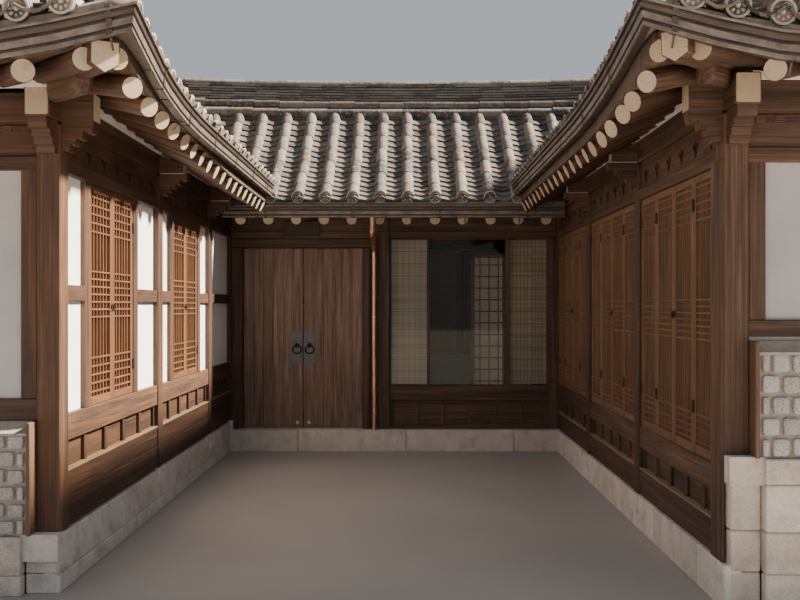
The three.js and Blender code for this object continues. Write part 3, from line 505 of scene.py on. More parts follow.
for number, (name, wing) in enumerate(wings.items()):
    heap = Heap(11 + number, wing)
    side, lines, base, street_base = wing["side"], wing["lines"], wing["base"], wing["street_base"]
    front, last = lines[0] - column / 2, lines[-1]
    street_face, proud_face = front - 0.05, front - 0.115
    face_u, outer_u, back_y = -0.015, wing_span + 0.11, last + 0.1
    x = [side * (court_half + u) for u in (face_u, outer_u, wing["inset"], 0.2)]
    for u, y, top in (
        ((face_u + core, 0.325), (street_face + core, -0.2), base),
        ((core, 0.325), (-0.21, back_y - core), base),
        ((wing_span - 0.325, outer_u - core), (street_face + core, back_y - core), base),
        ((core, wing_span), (last - 0.25, back_y - core), base),
        ((wing["inset"] + core, outer_u - core), (street_face + core, lines[0] + 0.07), street_base),
        ((0.2 + core, outer_u - core), (proud_face + core, lines[0]), street_base),
    ):
        heap.put(u, y, (0, top - 0.003), 0, 2)
    street_courses, outer_courses = wing["street_courses"], (0, 0.12, base)
    course(heap, (x[0], street_face), (x[0], -0.2), (side, 0), wing["court_courses"], 0.95)
    course(heap, (x[1], proud_face), (x[1], back_y), (-side, 0), outer_courses, 0.8)
    course(heap, (x[2], street_face), (x[3], street_face), (0, 1), street_courses, 0.6)
    course(heap, (x[3], proud_face), (x[1], proud_face), (0, 1), street_courses, 0.75)
    course(heap, (x[0], back_y), (x[1], back_y), (0, -1), outer_courses, 0.8)
    if street_base > base:
        upper = street_courses[2:]
        course(heap, (x[1], proud_face), (x[1], lines[0] + 0.075), (-side, 0), upper, 0.6)
        course(heap, (x[2], street_face), (x[2], lines[0] + 0.07), (side, 0), upper, 0.6)
    for y in lines[1:4]:
        heap.put((face_u - 0.012, 0.14), (y - 0.13, y + 0.13), (base - 0.14, base + 0.003), 0.008)
    low, high = street_base - footing_height, street_base + 0.006
    footing = [(-0.02, low), (0.32, low), (0.215, high), (-0.02, high)]
    loft(heap, [[at(wing, max(u, wing["inset"] - 0.012), y, z) for u, z in footing]
                for y in (street_face - 0.035, front + 0.02)])

    span = [side * (court_half + u) for u in (column + column_gap, wing_span - column - column_gap)]
    skirt_face, back_face = front - 0.1, last + column / 2 + 0.02
    street_ends, back_ends = ([(x, y) for x in span] for y in (skirt_face, back_face))
    skirt(heap, street_ends, (0, -1), street_base, wing["skirt_top"], 0.235, 0.165, 0.115)
    skirt(heap, back_ends, (0, 1), base, back_skirt, 0.155, 0.085, 0.035, turned=True)
    outer = side * (court_half + wing_span + 0.095)
    for y0, y1 in zip(lines, lines[1:]):
        ends = [(outer, y0 + column / 2 + column_gap), (outer, y1 - column / 2 - column_gap)]
        skirt(heap, ends, (side, 0), base, back_skirt, 0.225, 0.175, 0.11)
    heap.build(f"{name}_granite_base", base_materials, "granite", f"{name}_stone_base")

heap = Heap(13)
gate_base = 0.26
core_top = gate_base - 0.003
for low, high in (
    ((-1.963, core - 0.2), (0.06, 2.5 - core)), ((1.7, core - 0.2), (1.963, 2.5 - core)),
    ((0.06, core - 0.2), (1.7, 0.2)), ((0.06, 2.2), (1.7, 2.5 - core)),
):
    block(heap, (*low, 0), (*high, core_top), 0, 2)
for y, inward in ((-0.2, (0, 1)), (2.5, (0, -1))):
    course(heap, (-court_half, y), (court_half, y), inward, (0, gate_base), 1.05)
block(heap, (-1.9, -0.105, 0.2), (-0.36, 0.09, gate_base + 0.002), 0.01)
back_face = 2.495
for x0, x1 in ((-1.9747, -0.2003), (-0.0497, 1.9747)):
    bed_y = back_face - cobble_proud
    block(heap, (x0, 2.34, gate_base - 0.02), (x1, bed_y, back_skirt - coping_depth), 0, 2)
    cobble_skirt(heap, (x1 - 0.01, bed_y), (x0 + 0.01, bed_y), (0, 1), gate_base, back_skirt)
    hollow_coping(heap, (x1, back_face), (x0, back_face), (0, 1), 0.035, back_skirt)
heap.build("gate_range_granite_base", base_materials, "granite", "gate_range_stone_base")

# Wing frames
# Pine posts and beams with pegged joints. Columns carry perforated face boards between a lower
# and an upper purlin, stepped brackets under the tie ends, and cream-painted end grain.


def pine(name, middle, light):
    material, wire, sockets = finish(name, roughness=0.62)
    grain, tone = grain_of(wire), tone_of(wire)
    fibre = noise(wire, stretched(wire, grain, (1.6, 34, 34)), 1.0, 6, 0.62, 0.5)
    figure = noise(wire, stretched(wire, grain, (0.5, 7, 7)), 1.0, 3, 0.5, 0.8)
    streaks = noise(wire, stretched(wire, grain, (1.0, 90, 90)), 1.0, 3, 0.6, 0.2)
    bed = ramp(wire, fibre * 0.40 + figure * 0.30 + streaks * 0.30, [
        (0.38, (0.016, 0.008, 0.005)), (0.46, (0.058, 0.030, 0.017)), (0.54, middle), (0.64, light),
    ])
    age = ramp(wire, tone, [(0.0, 0.0), (1.0, 0.65)])
    aged = mixed(wire, age, bed, (0.56, 0.49, 0.44), "MULTIPLY")
    grime = ramp(wire, noise(wire, grain, 5, 5, 0.6), [(0.50, 0.0), (0.78, 0.45)])
    wire.join(mixed(wire, grime, aged, (0.055, 0.035, 0.025)), sockets["Base Color"])
    cracks = noise(wire, stretched(wire, grain, (1.1, 60, 60)), 1.0, 2, 0.5)
    checks = ramp(wire, cracks, [(0.60, 1.0), (0.66, 0.0)])
    relief(wire, sockets, fibre * 0.5 + checks * 0.5, 0.003)
    return material


timber = pine("weathered_pine", (0.110, 0.058, 0.033), (0.207, 0.114, 0.064))
# A darker, more orange copy of the pine for the left wing, whose courtyard side stands in the sun: its
# colour is painted shade that tempers the sunlight.
sunlit_wing_timber = pine("sunlit_wing_pine", (0.102, 0.047, 0.022), (0.190, 0.086, 0.034))

end_paint, wire, sockets = finish("cream_end_paint", roughness=0.7)
grain, tone = grain_of(wire), tone_of(wire)
worn = ramp(wire, noise(wire, grain, 26, 5, 0.65), [(0.55, 0.0), (0.70, 0.7)])
cracks = noise(wire, stretched(wire, grain, (1, 14, 70)), 1.0, 2, 0.4)
cracked = ramp(wire, cracks, [(0.70, 0.0), (0.72, 0.55)])
bed = mixed(wire, tone * 0.6, (0.50, 0.415, 0.295), (0.36, 0.27, 0.18))
split = mixed(wire, cracked, bed, (0.24, 0.15, 0.09))
wire.join(mixed(wire, worn, split, (0.34, 0.24, 0.15)), sockets["Base Color"])

# A near-black board behind the trefoil cuts and the panel slots: painted shadow of the hollows behind
# them.
shadow_board = plain_coat("painted_shadow_behind_the_cuts", (0.018, 0.012, 0.009), 0.9)

frame_materials = [timber, end_paint, shadow_board]
head_low, beam_low, beam_top, purlin_top = 2.584, 2.67, 2.88, 3.06
nosing, cut_depth, cut_pitch = 0.2, 0.02, 0.33
half_column, inner_u = column / 2, wing_span - column


def trefoil(centre, height):
    """The cut in a beam board: two upper lobes over a longer lower one."""
    s, z = centre
    h = height
    shape = [
        (0.00, -0.62), (0.13, -0.46), (0.24, -0.22), (0.30, -0.02), (0.44, 0.02), (0.60, 0.10),
        (0.66, 0.24), (0.55, 0.34), (0.36, 0.32), (0.25, 0.30), (0.17, 0.44), (0.00, 0.52),
    ]
    right = [(s + a * h, z + b * h) for a, b in shape]
    left = [(s - a * h, z + b * h) for a, b in shape[-2:0:-1]]
    return right + left


def pierced_board(heap, start, end, z0, z1, outward, count):
    """A face board from start to end with a row of trefoil cuts right through it."""
    start, end, outward = (np.array([*place, 0.0]) for place in (start, end, outward))
    total = np.linalg.norm(end - start)
    along = (end - start) / total
    pitch = total / count
    z = z0 + (z1 - z0) * 0.42
    for i in range(count):
        s0, s1 = i * pitch, (i + 1) * pitch
        middle = (s0 + s1) / 2
        hole = trefoil((middle, z), 0.105)
        n = len(hole)
        border = []
        for s, h in hole:
            ds, dz = s - middle, h - z
            level = z0 - z if dz < 0 else z1 - z
            scale = min((pitch / 2) / max(abs(ds), 1e-9), abs(level) / max(abs(dz), 1e-9))
            border.append((middle + ds * scale, z + dz * scale))
        corners = [(s0, z0), (s1, z0), (s1, z1), (s0, z1)]
        points, grain = [], []
        for layer in (0.0, cut_depth):
            for s, h in hole + border + corners:
                points.append(start + along * s - outward * layer + upward(h))
                grain.append((s, layer, h))
        faces = []
        size = 2 * n + 4
        for k in range(n):
            j = (k + 1) % n
            faces += [(k, j, n + j, n + k), (k, size + k, size + j, j)]
            a, b = np.array(border[k]), np.array(border[j])
            for c, corner in enumerate(corners):
                if np.all((a - corner) * (b - corner) < 1e-9) and np.all(np.abs(a - b) > 1e-6):
                    faces.append((n + k, n + j, 2 * n + c))
        if np.dot(np.cross(along, (0, 0, 1)), outward) < 0:
            faces = [face[::-1] for face in faces]
        heap.add(points, faces, 0, grain)


def stepped_bracket(heap, root, tip, top, low, half, outward, across, steps=5):
    """A bracket whose underside climbs outward in rounded rolls."""
    root, outward, across = (np.asarray(v, float) for v in (root, outward, across))
    roll = [(0.0, -0.25), (0.04, -0.62), (0.20, -0.92), (0.45, -1.02), (0.72, -0.96), (0.90, -0.80)]
    line = [(0.0, top), (tip, top)]
    shares = np.array([1.7] + [1.0] * (steps - 1))
    s, z = tip, top
    for share in shares / shares.sum():
        run, rise = tip * 0.94 * share, (top - low) * share
        line += [(s - back * run, z + drop * rise) for back, drop in roll]
        s, z = s - run, z - rise
    line.append((0.0, low))
    sides = (root - across * half, root + across * half)
    loft(heap, [[side + outward * s + upward(z) for s, z in line] for side in sides])


for number, (name, wing) in enumerate(wings.items()):
    heap = Heap(21 + number, wing)
    side, lines = wing["side"], wing["lines"]
    first, last = lines[0], lines[-1]
    for i, y in enumerate(lines):
        foot = wing["street_base"] if i == 0 else wing["base"]
        for u in (0, inner_u):
            width = (y - half_column, y + half_column)
            heap.put((u, u + column), width, (foot, beam_top - 0.01), 0.008, run=2)
        heap.put((0.01, wing_span - 0.01), (y - 0.058, y + 0.058), (2.69, beam_top - 0.01), 0.012)
        for carved, u, way in ((0 < i < 3, 0, -1), (0 < i < 4, wing_span, 1)):
            if not carved:
                continue
            root, outward = at(wing, u, y, 0), np.array([side * way, 0, 0])
            stepped_bracket(heap, root, 0.235, 2.884, 2.70, 0.054, outward, (0, 1, 0))
            tie_end = [
                [root + outward * s + (0, across, z)
                 for across, z in ((-0.058, 2.892), (0.058, 2.892), (0.058, top), (-0.058, top))]
                for s, top in ((-0.01, 3.045), (nosing + 0.006, 2.965))
            ]
            loft(heap, tie_end, 0, 1)
            soffit_u = (u + way * 0.002, u + way * (nosing + 0.008))
            heap.put(soffit_u, (y - 0.0575, y + 0.0575), (2.884, 2.893), 0.002, 1)
    behind_cuts = (beam_low - 0.01, beam_top)
    between = (first + half_column, last - half_column)
    for u, way in ((0, 1), (inner_u, -1)):
        heap.put((u + 0.005, u + 0.145), between, (head_low, beam_low), 0.006)
        face = u + half_column - way * 0.05
        # A near-black board behind the cuts, painted shadow.
        heap.put((face + way * cut_depth, face + way * 0.1), (first, last), behind_cuts, 0, 2)
        for y0, y1 in zip(lines, lines[1:]):
            a, b = y0 + half_column, y1 - half_column
            x, cuts = side * (court_half + face), round((b - a) / cut_pitch)
            pierced_board(heap, (x, a), (x, b), beam_low, beam_top, (-side * way, 0), cuts)
        root = at(wing, u + half_column, first - half_column, 0)
        stepped_bracket(heap, root, 0.19, 2.882, 2.68, 0.056, (0, -1, 0), (1, 0, 0), 4)
    across = (half_column, wing_span - half_column)
    for y, way, corners in ((first, -1, (0, wing_span)), (last, 1, (wing_span,))):
        heap.put(across, (y - 0.07, y + 0.07), (head_low, beam_low), 0.006)
        face = y + way * 0.05
        # A near-black board behind the cuts, painted shadow.
        heap.put(across, (y - way * 0.05, face - way * cut_depth), behind_cuts, 0, 2)
        ends = [(side * (court_half + u), face) for u in (column, inner_u)]
        pierced_board(heap, *ends, beam_low, beam_top, (0, way), 8)
        for u in corners:
            out = (side if u else -side, 0, 0)
            stepped_bracket(heap, at(wing, u, y, 0), 0.195, 2.882, 2.70, 0.056, out, (0, 1, 0), 4)

    purlin = (beam_top, purlin_top)
    length = (first - half_column - nosing, last + half_column + nosing)
    for u in (0, inner_u):
        heap.put((u, u + column), length, purlin, 0.008, 0, 1)
    for start, y in ((-nosing, first), (0, last)):
        width = (y - half_column, y + half_column)
        heap.put((start, wing_span + nosing), width, purlin, 0.008, 0, 1)
    for u in (0.19, 0.30, wing_span - 0.30):
        heap.put((u, u + 0.06), (first - 0.062, first - 0.03), (2.815, 2.86), 0.004)

    court_start = first + (half_column + column_gap if wing["inset"] else 0)
    for rail in wing["court_rails"]:
        heap.put((0.015, 0.135), (court_start, lines[3]), rail, 0.006)
    if name == "left":
        ledge = (court_start + half_column, lines[3] - half_column)
        heap.put((0.004, 0.05), ledge, (0.536, 0.548), 0.002)
    street, back = (first - 0.06, first + 0.06), (last - 0.06, last + 0.06)
    back_rail, middle_rail = (back_skirt + 0.007, back_skirt + 0.137), (1.78, 1.885)
    for y, rail in ((street, wing["street_rail"]), (back, back_rail), (back, middle_rail)):
        heap.put(across, y, rail, 0.006)
    for u in (0.15, 1.29, 2.45):
        for y, rail in ((street, wing["street_rail"]), (back, back_rail)):
            heap.put((u, u + 0.10), y, (rail[1], 2.59), 0.006, run=2)
    heap.put((inner_u + 0.015, inner_u + 0.135), (first, last), (back_rail[0], 1.072), 0.004)
    for windows, u in ((wing["court_windows"], 0.015), (wing["outer_windows"], inner_u + 0.015)):
        y = first
        for w0, w1 in windows:
            heap.put((u, u + 0.12), (y, w0 - 0.115), middle_rail, 0.006)
            for jamb in ((w0 - 0.115, w0), (w1, w1 + 0.115)):
                heap.put((u, u + 0.12), jamb, (1.068, 2.59), 0.006, run=2)
            y = w1 + 0.115
        if windows:
            heap.put((u, u + 0.12), (y, last), middle_rail, 0.006)
    floor_z = wing["floor"]
    joist_z = (floor_z - 0.18, floor_z - 0.06)
    for y in lines[1:-1]:
        heap.put((0.14, inner_u + 0.01), (y - 0.049, y + 0.049), joist_z, 0.004)
    if wing["inset"]:
        facing = (wing["base"] + 0.005, 2.6)
        heap.put((-0.008, 0.012), (first - 0.06, first + 0.15), facing, 0.004, run=2)
    # The left wing takes the darker copy of the pine, painted shade against the sun on it.
    wing["timber"] = sunlit_wing_timber if name == "left" else timber
    materials = [wing["timber"], end_paint, shadow_board]
    heap.build(f"{name}_posts_and_beams", materials, "timber", f"{name}_frame")

    boards = Heap(31 + number, wing)
    count = 18
    u0, u1 = column + column_gap, wing_span - column - column_gap
    for i in range(count):
        a, b = (u0 + (u1 - u0) * k / count for k in (i, i + 1))
        length = (first + 0.08, last - 0.075)
        boards.put((a + 0.001, b - 0.001), length, (floor_z - 0.06, floor_z), 0.003)
    under = (floor_z - 0.18, floor_z - 0.059)
    starts = [first + 0.2] + [y + 0.0495 for y in lines[1:-1]]
    ends = [y - 0.0495 for y in lines[1:-1]] + [last - half_column]
    for u in (u0, u1 - 0.12):
        for joist in zip(starts, ends):
            boards.put((u, u + 0.12), joist, under, 0.004)
    boards.put((u0, u1), (last - half_column - 0.12, last - half_column), under, 0.004)
    boards.build(f"{name}_floor_boards", frame_materials[:1], "timber", f"{name}_floor")

# Wall infill
# Lime plaster on laths fills the panels between posts and rails, trowelled a little uneven.
# Low on the courtyard sides are board panels with a slot above and beside each, over a near-black sheet
# of painted shade.

plaster, wire, sockets = finish("lime_plaster", roughness=0.92)
grain = grain_of(wire)
cloud = noise(wire, grain, 2.2, 5, 0.6)
streak = noise(wire, stretched(wire, grain, (5, 5, 1)), 1.0, 4, 0.6)
bed = ramp(wire, cloud * 0.6 + streak * 0.4, [(0.32, (0.80, 0.797, 0.79)), (0.62, (0.92, 0.917, 0.91))])
wire.join(bed, sockets["Base Color"])
relief(wire, sockets, noise(wire, grain, 9, 5, 0.55), 0.006)

# A darker, greyer copy of the lime plaster for the street walls out of the sun and for the back wall of
# the room: painted shade.
street_plaster = coat(
    "plaster_darkened_for_shade", 0.92, (1.6, 5, 0.6),
    [(0.32, (0.42, 0.426, 0.442)), (0.66, (0.52, 0.526, 0.542))], bump=(0.006, 9, 5, 0.55),
)

wall_top = 2.624
window_low, window_high = 1.072, 2.584


def sheet_with_openings(heap, u, y, z, openings):
    """A plaster sheet in a wing's side wall, built in fields around its openings."""
    start = y[0]
    for a, b in openings:
        heap.put(u, (start, a), z, 0, 0, run=1)
        for levels in ((z[0], window_low), (window_high, z[1])):
            heap.put(u, (a, b), levels, 0, 0, run=1)
        start = b
    heap.put(u, (start, y[1]), z, 0, 0, run=1)


pale_ledge = coat(
    "worn_pale_ledge", 0.7, ((2, 40, 40), 4, 0.6),
    [(0.3, (0.22, 0.14, 0.085)), (0.7, (0.36, 0.25, 0.15))],
)
panel_slot, panel_stile = 0.012, 0.03
slots_per_bay = 5

for number, (name, wing) in enumerate(wings.items()):
    lines = wing["lines"]
    street, back = ((y - 0.03, y + 0.03) for y in (lines[0], lines[-1]))
    whole = (street[0], back[1])
    heap = Heap(41 + number, wing)
    low, high = wing["panel"]
    if wing["court_windows"]:
        sheet_with_openings(heap, (0.05, 0.105), whole, (1.0, wall_top), wing["court_windows"])
    for y0, y1 in zip(lines[:3], lines[1:4]):
        a, b = y0 + half_column, y1 - half_column
        pitch = (b - a) / slots_per_bay
        # The near-black sheet behind the panels shows in the slots as painted shade.
        heap.put((0.105, 0.11), (a, b), (low - 0.02, high + 0.02), 0, 2)
        for i in range(slots_per_bay):
            s0, s1 = a + i * pitch, a + (i + 1) * pitch
            field = (s0 + panel_stile, s1 - panel_slot - panel_stile)
            heap.put((0.06, 0.085), field, (low, high - panel_slot), 0.003, 1, run=1)
            for stile in ((s0, s0 + panel_stile), (s1 - panel_stile, s1)):
                heap.put((0.04, 0.10), stile, (low, high), 0.002, 1, run=2)
        heap.put((0.01, 0.06), (a, b), (low, low + 0.012), 0.002, 3)
    heap.build(f"{name}_court_infill", [plaster, wing["timber"], shadow_board, pale_ledge],
               "plaster" if name == "left" else "timber", f"{name}_court_wall")

    u = (0.1056, inner_u + 0.0444)
    heap = Heap(43 + number, wing)
    heap.put(u, street, (wing["skirt_top"], wall_top), 0, 0, run=0)
    # The street walls take the darker plaster, painted shade.
    heap.build(f"{name}_street_plaster", [street_plaster], "plaster", f"{name}_street_wall")
    heap = Heap(45 + number, wing)
    heap.put(u, back, (back_skirt, wall_top), 0, 0, run=0)
    heap.build(f"{name}_back_plaster", [plaster], "plaster", f"{name}_back_wall")
    heap = Heap(47 + number, wing)
    u = (inner_u + 0.045, inner_u + 0.105)
    sheet_with_openings(heap, u, whole, (back_skirt, wall_top), wing["outer_windows"])
    heap.build(f"{name}_outer_plaster", [plaster], "plaster", f"{name}_outer_wall")

heap = Heap(49)
half_court = court_half - column_gap
for x0, x1, z0, z1 in (
    (-half_court, 0.4, back_skirt, wall_top), (1.48, half_court, back_skirt, wall_top),
    (0.4, 1.48, back_skirt, window_low), (0.4, 1.48, 2.564, wall_top),
):
    block(heap, (x0, 2.37, z0), (x1, 2.43, z1), 0, 0, run=0)
# The room's back wall takes the darker plaster too, painted shade inside the room.
heap.build("gate_range_back_plaster", [street_plaster], "plaster", "gate_range_back_wall")

# Lattice windows and folding doors
# Pine leaves with mortised bars, three groups of rails over close uprights, papered on the room
# side, hung on black iron hinges with a ring latch where the leaves meet.


def leaf_pine(name, dark, light):
    toned = (0.6, (0.55, 0.45, 0.38))
    return coat(name, 0.6, ((2.5, 60, 60), 4, 0.6), [(0.3, dark), (0.7, light)], toned)


def paper(name, dark, light):
    return coat(name, 0.95, (14, 6, 0.7), [(0.3, dark), (0.7, light)])


lattice_pine = leaf_pine("lattice_pine", (0.110, 0.058, 0.030), (0.250, 0.134, 0.068))
# A darker, more orange copy of the lattice pine for the sunlit courtyard windows of the left wing:
# painted shade that tempers the sunlight.
sunlit_window_lattice = leaf_pine("sunlit_window_lattice_pine", (0.082, 0.036, 0.015), (0.190, 0.085, 0.033))
window_paper = paper("window_paper", (0.50, 0.42, 0.31), (0.64, 0.56, 0.44))
# A dark brown copy of the paper for the lattice leaves: painted shade where the paper lies behind the
# bars.
shade_darkened_paper = paper("lattice_paper_darkened_for_shade", (0.22, 0.145, 0.085), (0.32, 0.225, 0.14))
black_iron = coat(
    "black_iron", 0.5, (45, 5, 0.65), [(0.3, (0.012, 0.011, 0.011)), (0.75, (0.045, 0.038, 0.032))],
    bump=(0.001,), metallic=0.75,
)
leaf_materials = [lattice_pine, shade_darkened_paper, black_iron]


def ring_of(heap, centre, radius, thickness, axis, paint, sides=20, around=8):
    """A round iron ring about an axis."""
    centre, axis = np.asarray(centre, float), np.asarray(axis, float)
    across = unit(np.cross(axis, (0.31, 0.77, 0.55)))
    over = np.cross(axis, across)
    points = []
    for i in range(sides):
        a = 2 * math.pi * i / sides
        out = across * math.cos(a) + over * math.sin(a)
        for j in range(around):
            b = 2 * math.pi * j / around
            reach, rise = radius + thickness * math.cos(b), thickness * math.sin(b)
            points.append(centre + out * reach + axis * rise)
    faces = []
    for i in range(sides):
        for j in range(around):
            a, b = i * around + j, i * around + (j + 1) % around
            c, d = ((i + 1) % sides) * around + j, ((i + 1) % sides) * around + (j + 1) % around
            faces.append((a, c, d, b))
    heap.add(points, faces, paint, points)


def lattice_leaf(heap, spot, along, out, width, z0, z1, groups, uprights, stile, foot):
    """One leaf with its lower outer corner at spot, as wide as along and facing out."""
    thick, bar, front = 0.042, 0.012, 0.022

    def piece(s, d, z, chamfer=0.002, paint=0, way=None):
        corners = [spot + along * s[k] - out * d[k] + upward(z[k]) for k in (0, 1)]
        block(heap, *corners, chamfer, paint, None, way)

    inside, field = (stile, width - stile), (z0 + foot, z1 - stile)
    for s in ((0.001, stile), (width - stile, width - 0.001)):
        piece(s, (0, thick), (z0, z1), 0.003, 0, 2)
    for z in ((z0, field[0]), (field[1], z1)):
        piece(inside, (0, thick), z, 0.003)
    piece(inside, (0.026, 0.030), field, 0, 1)
    for i in range(uprights):
        s = stile + (width - 2 * stile) * (i + 1) / (uprights + 1)
        piece((s - bar / 2, s + bar / 2), (0.006, 0.006 + front), field, 0.002, 0, 2)
    for a, b, count in groups:
        for z in np.linspace(a, b, count):
            piece(inside, (0.004, 0.004 + front), (z - bar / 2, z + bar / 2), 0.002)


def butt_hinge(heap, centre, along, out):
    """A butt hinge: a plate on each of two members and a pin over the joint between them."""
    height, width = 0.075, 0.05
    for way in (-1, 1):
        low = centre + along * way * 0.004 - upward(height / 2)
        high = centre + along * way * width / 2 + out * 0.004 + upward(height / 2)
        block(heap, low, high, 0.001, 2, None, 2)
    ends = [centre + out * 0.005 + upward(height * share) for share in (-0.56, 0.56)]
    member(heap, *ends, circle(0.006, 8), (0, 1, 0), 0.002, 2)


def ring_latch(heap, centre, along, out):
    """A small round plate on each meeting stile, one with a pull ring."""
    for way in (-1, 1):
        spot = centre + along * way * 0.026
        member(heap, spot, spot + out * 0.004, circle(0.021, 12), (0, 0, 1), 0.001, 2)
        ring_of(heap, spot + out * 0.010 - upward(0.018), 0.017, 0.0028, out, 2, 14, 6)


window_groups = ((1.160, 1.393, 5), (1.674, 1.987, 7), (2.262, 2.500, 5))
door_groups = ((0.885, 1.055, 5), (1.537, 1.790, 7), (2.300, 2.510, 5))


def window_pair(heap, place, along, out, width):
    """Two lattice leaves that meet in the middle of an opening."""
    half_width = width / 2
    for way in (0, 1):
        lattice_leaf(heap, place + along * half_width * way, along, out, half_width,
                     window_low, window_high, window_groups, 5, 0.055, 0.055)
    for s, sign in ((0.0, 1), (width, -1)):
        for z in (1.30, 2.36):
            butt_hinge(heap, place + along * s + upward(z), along * sign, out)
    ring_latch(heap, place + along * half_width + upward(1.75), along, out)


to_back, to_right = np.array([0, 1.0, 0]), np.array([1.0, 0, 0])
for number, (name, wing) in enumerate(wings.items()):
    heap = Heap(51 + number)
    corner = at(wing, wing_span - 0.03, wing["outer_windows"][0][0], 0)
    window_pair(heap, corner, to_back, to_right * wing["side"], 1.08)
    heap.build(f"{name}_outer_lattice_window", leaf_materials, "lattice", f"{name}_outer_window")
for i, (y0, y1) in enumerate(wings["left"]["court_windows"]):
    heap = Heap(53 + i)
    window_pair(heap, at(wings["left"], 0.028, y0, 0), to_back, to_right, y1 - y0)
    # The sunlit windows take the darker lattice pine, painted shade.
    materials = [sunlit_window_lattice, shade_darkened_paper, black_iron]
    heap.build(f"left_lattice_window_{i + 1}", materials, "lattice", f"left_window_{i + 1}")
heap = Heap(55)
window_pair(heap, np.array([1.48, 2.422, -0.01]), -to_right, to_back, 1.08)
heap.build("back_lattice_window", leaf_materials, "lattice", "back_window")

door_low = 0.80
door_lines = wings["right"]["lines"]
for i in range(3):
    heap = Heap(61 + i)
    y0 = door_lines[i] + (column if i == 0 else half_column)
    y1 = door_lines[i + 1] - half_column
    start = at(wings["right"], 0.028, y0, 0)
    width = (y1 - y0) / 4
    for leaf in range(4):
        lattice_leaf(heap, start + to_back * width * leaf, to_back, -to_right, width,
                     door_low, window_high, door_groups, 7, 0.050, 0.060)
    for leaf, sign in ((0, 1), (1, 1), (3, -1), (4, -1)):
        for z in (1.10, 2.40):
            butt_hinge(heap, start + to_back * width * leaf + upward(z), to_back * sign, -to_right)
    ring_latch(heap, start + to_back * 2 * width + upward(1.70), to_back, -to_right)
    doors = f"right_folding_lattice_doors_{i + 1}"
    heap.build(doors, leaf_materials, "lattice", f"right_folding_doors_{i + 1}")

# Gate range frame
# Lower than the wings and built the same way: end and middle posts front and back, a beam and
# a purlin over each, a tie over the middle post and the ridge purlin under the roof.

heap = Heap(71)
gate_purlin = 2.99
for y in (0.0, 2.4):
    block(heap, (-0.2, y - 0.075, gate_base), (-0.05, y + 0.075, 2.66), 0.008, run=2)
    for half_depth, z0, z1, chamfer in (
        (0.06, 2.573, 2.655, 0.006), (0.05, 2.65, 2.815, 0.006), (0.075, 2.81, gate_purlin, 0.02),
    ):
        block(heap, (-half_court, y - half_depth, z0), (half_court, y + half_depth, z1), chamfer)
for z0, z1 in ((1.05, 1.18), (1.78, 1.885)):
    for x0, x1 in ((-half_court, 0.285), (1.595, half_court)):
        block(heap, (x0, 2.34, z0), (x1, 2.46, z1), 0.006)
block(heap, (0.285, 2.34, 1.05), (1.595, 2.46, window_low), 0.004)
for x in (0.285, 1.48):
    block(heap, (x, 2.345, 1.05), (x + 0.115, 2.455, 2.59), 0.006, run=2)
block(heap, (-0.185, -0.075, 2.65), (-0.065, 2.475, 2.81), 0.01)
crest_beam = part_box("gate_range_roof_deck")[1][2] - 0.12 - 0.065
block(heap, (-0.185, 1.14, 2.80), (-0.065, 1.26, crest_beam - 0.14), 0.008, run=2)
block(heap, (-1.9, 1.125, crest_beam - 0.15), (1.9, 1.275, crest_beam), 0.02)
block(heap, (1.879, -0.06, gate_base), (half_court, 0.06, 2.6), 0.006, run=2)
for x0, y0, y1 in ((-0.2, 0.065, 0.175), (-0.2, 2.24, 2.33), (1.87, 0.0, 2.33)):
    block(heap, (x0, y0, 0.4), (half_court, y1, 0.54), 0.004)
heap.build("gate_range_posts_and_beams", frame_materials, "timber", "gate_range_frame")

heap = Heap(72)
board_count = 16
for i in range(board_count):
    x0, x1 = (-0.03 + (1.9727 + 0.03) * k / board_count for k in (i, i + 1))
    block(heap, (x0 + 0.001, 0.08, 0.54), (x1 - 0.001, 2.32, 0.60), 0.003, run=1)
heap.build("gate_range_floor_boards", frame_materials[:1], "timber", "gate_range_floor")

# Gate
# Two leaves of dark stained planks on battens turn on wooden pivots between the posts. Each
# has an iron plate with a pull ring, and small bolts near its foot. The board above is bare.

gate_stain = coat(
    "dark_gate_planks", 0.55, ((1.5, 40, 40), 6, 0.62, 0.5),
    [(0.34, (0.095, 0.055, 0.037)), (0.52, (0.225, 0.140, 0.098)), (0.70, (0.36, 0.238, 0.172))],
    toned=(0.5, (0.66, 0.58, 0.52)), bump=(0.002,),
)
plate_steel = coat(
    "dull_plate_steel", 0.5, (30, 4, 0.6),
    [(0.35, (0.105, 0.118, 0.125)), (0.7, (0.17, 0.185, 0.19))], metallic=0.35,
)
bright_steel = plain_coat("worn_bolt_steel", (0.62, 0.58, 0.52), 0.35, 0.8)

gate_left, gate_right = -1.832, -0.382
leaf_front, leaf_back, leaf_low, leaf_high = 0.010, 0.060, 0.271, 2.452
meeting = (gate_left + gate_right) / 2
planks_per_leaf = 6

post_top, lintel_top = leaf_high + 0.006, 2.573

heap = Heap(73)
for x0, x1, half_depth, chamfer in (
    (-half_court, gate_left - 0.006, 0.06, 0.006), (gate_right + 0.006, -0.295, 0.06, 0.006),
    (-0.30, -0.2003, 0.02, 0.004),
):
    block(heap, (x0, -half_depth, gate_base), (x1, half_depth, post_top), chamfer, run=2)
block(heap, (-half_court, -0.06, post_top), (-0.2003, 0.06, lintel_top), 0.006)
for x0, x1 in ((gate_left - 0.016, gate_left + 0.04), (gate_right - 0.04, gate_right + 0.016)):
    for z0, z1 in ((gate_base, leaf_low - 0.0003), (leaf_high + 0.0003, leaf_high + 0.02)):
        block(heap, (x0, 0.015, z0), (x1, leaf_back, z1), 0.001)
heap.build("gate_posts_and_head", frame_materials, "timber", "gate_frame")


def boss(heap, x, z, behind, proud, radius, sides, paint=0):
    """A round plate, stud or knob on the face of a leaf."""
    ends = [(x, leaf_front - d, z) for d in (behind, proud)]
    member(heap, *ends, circle(radius, sides), (0, 0, 1), 0.003, paint)


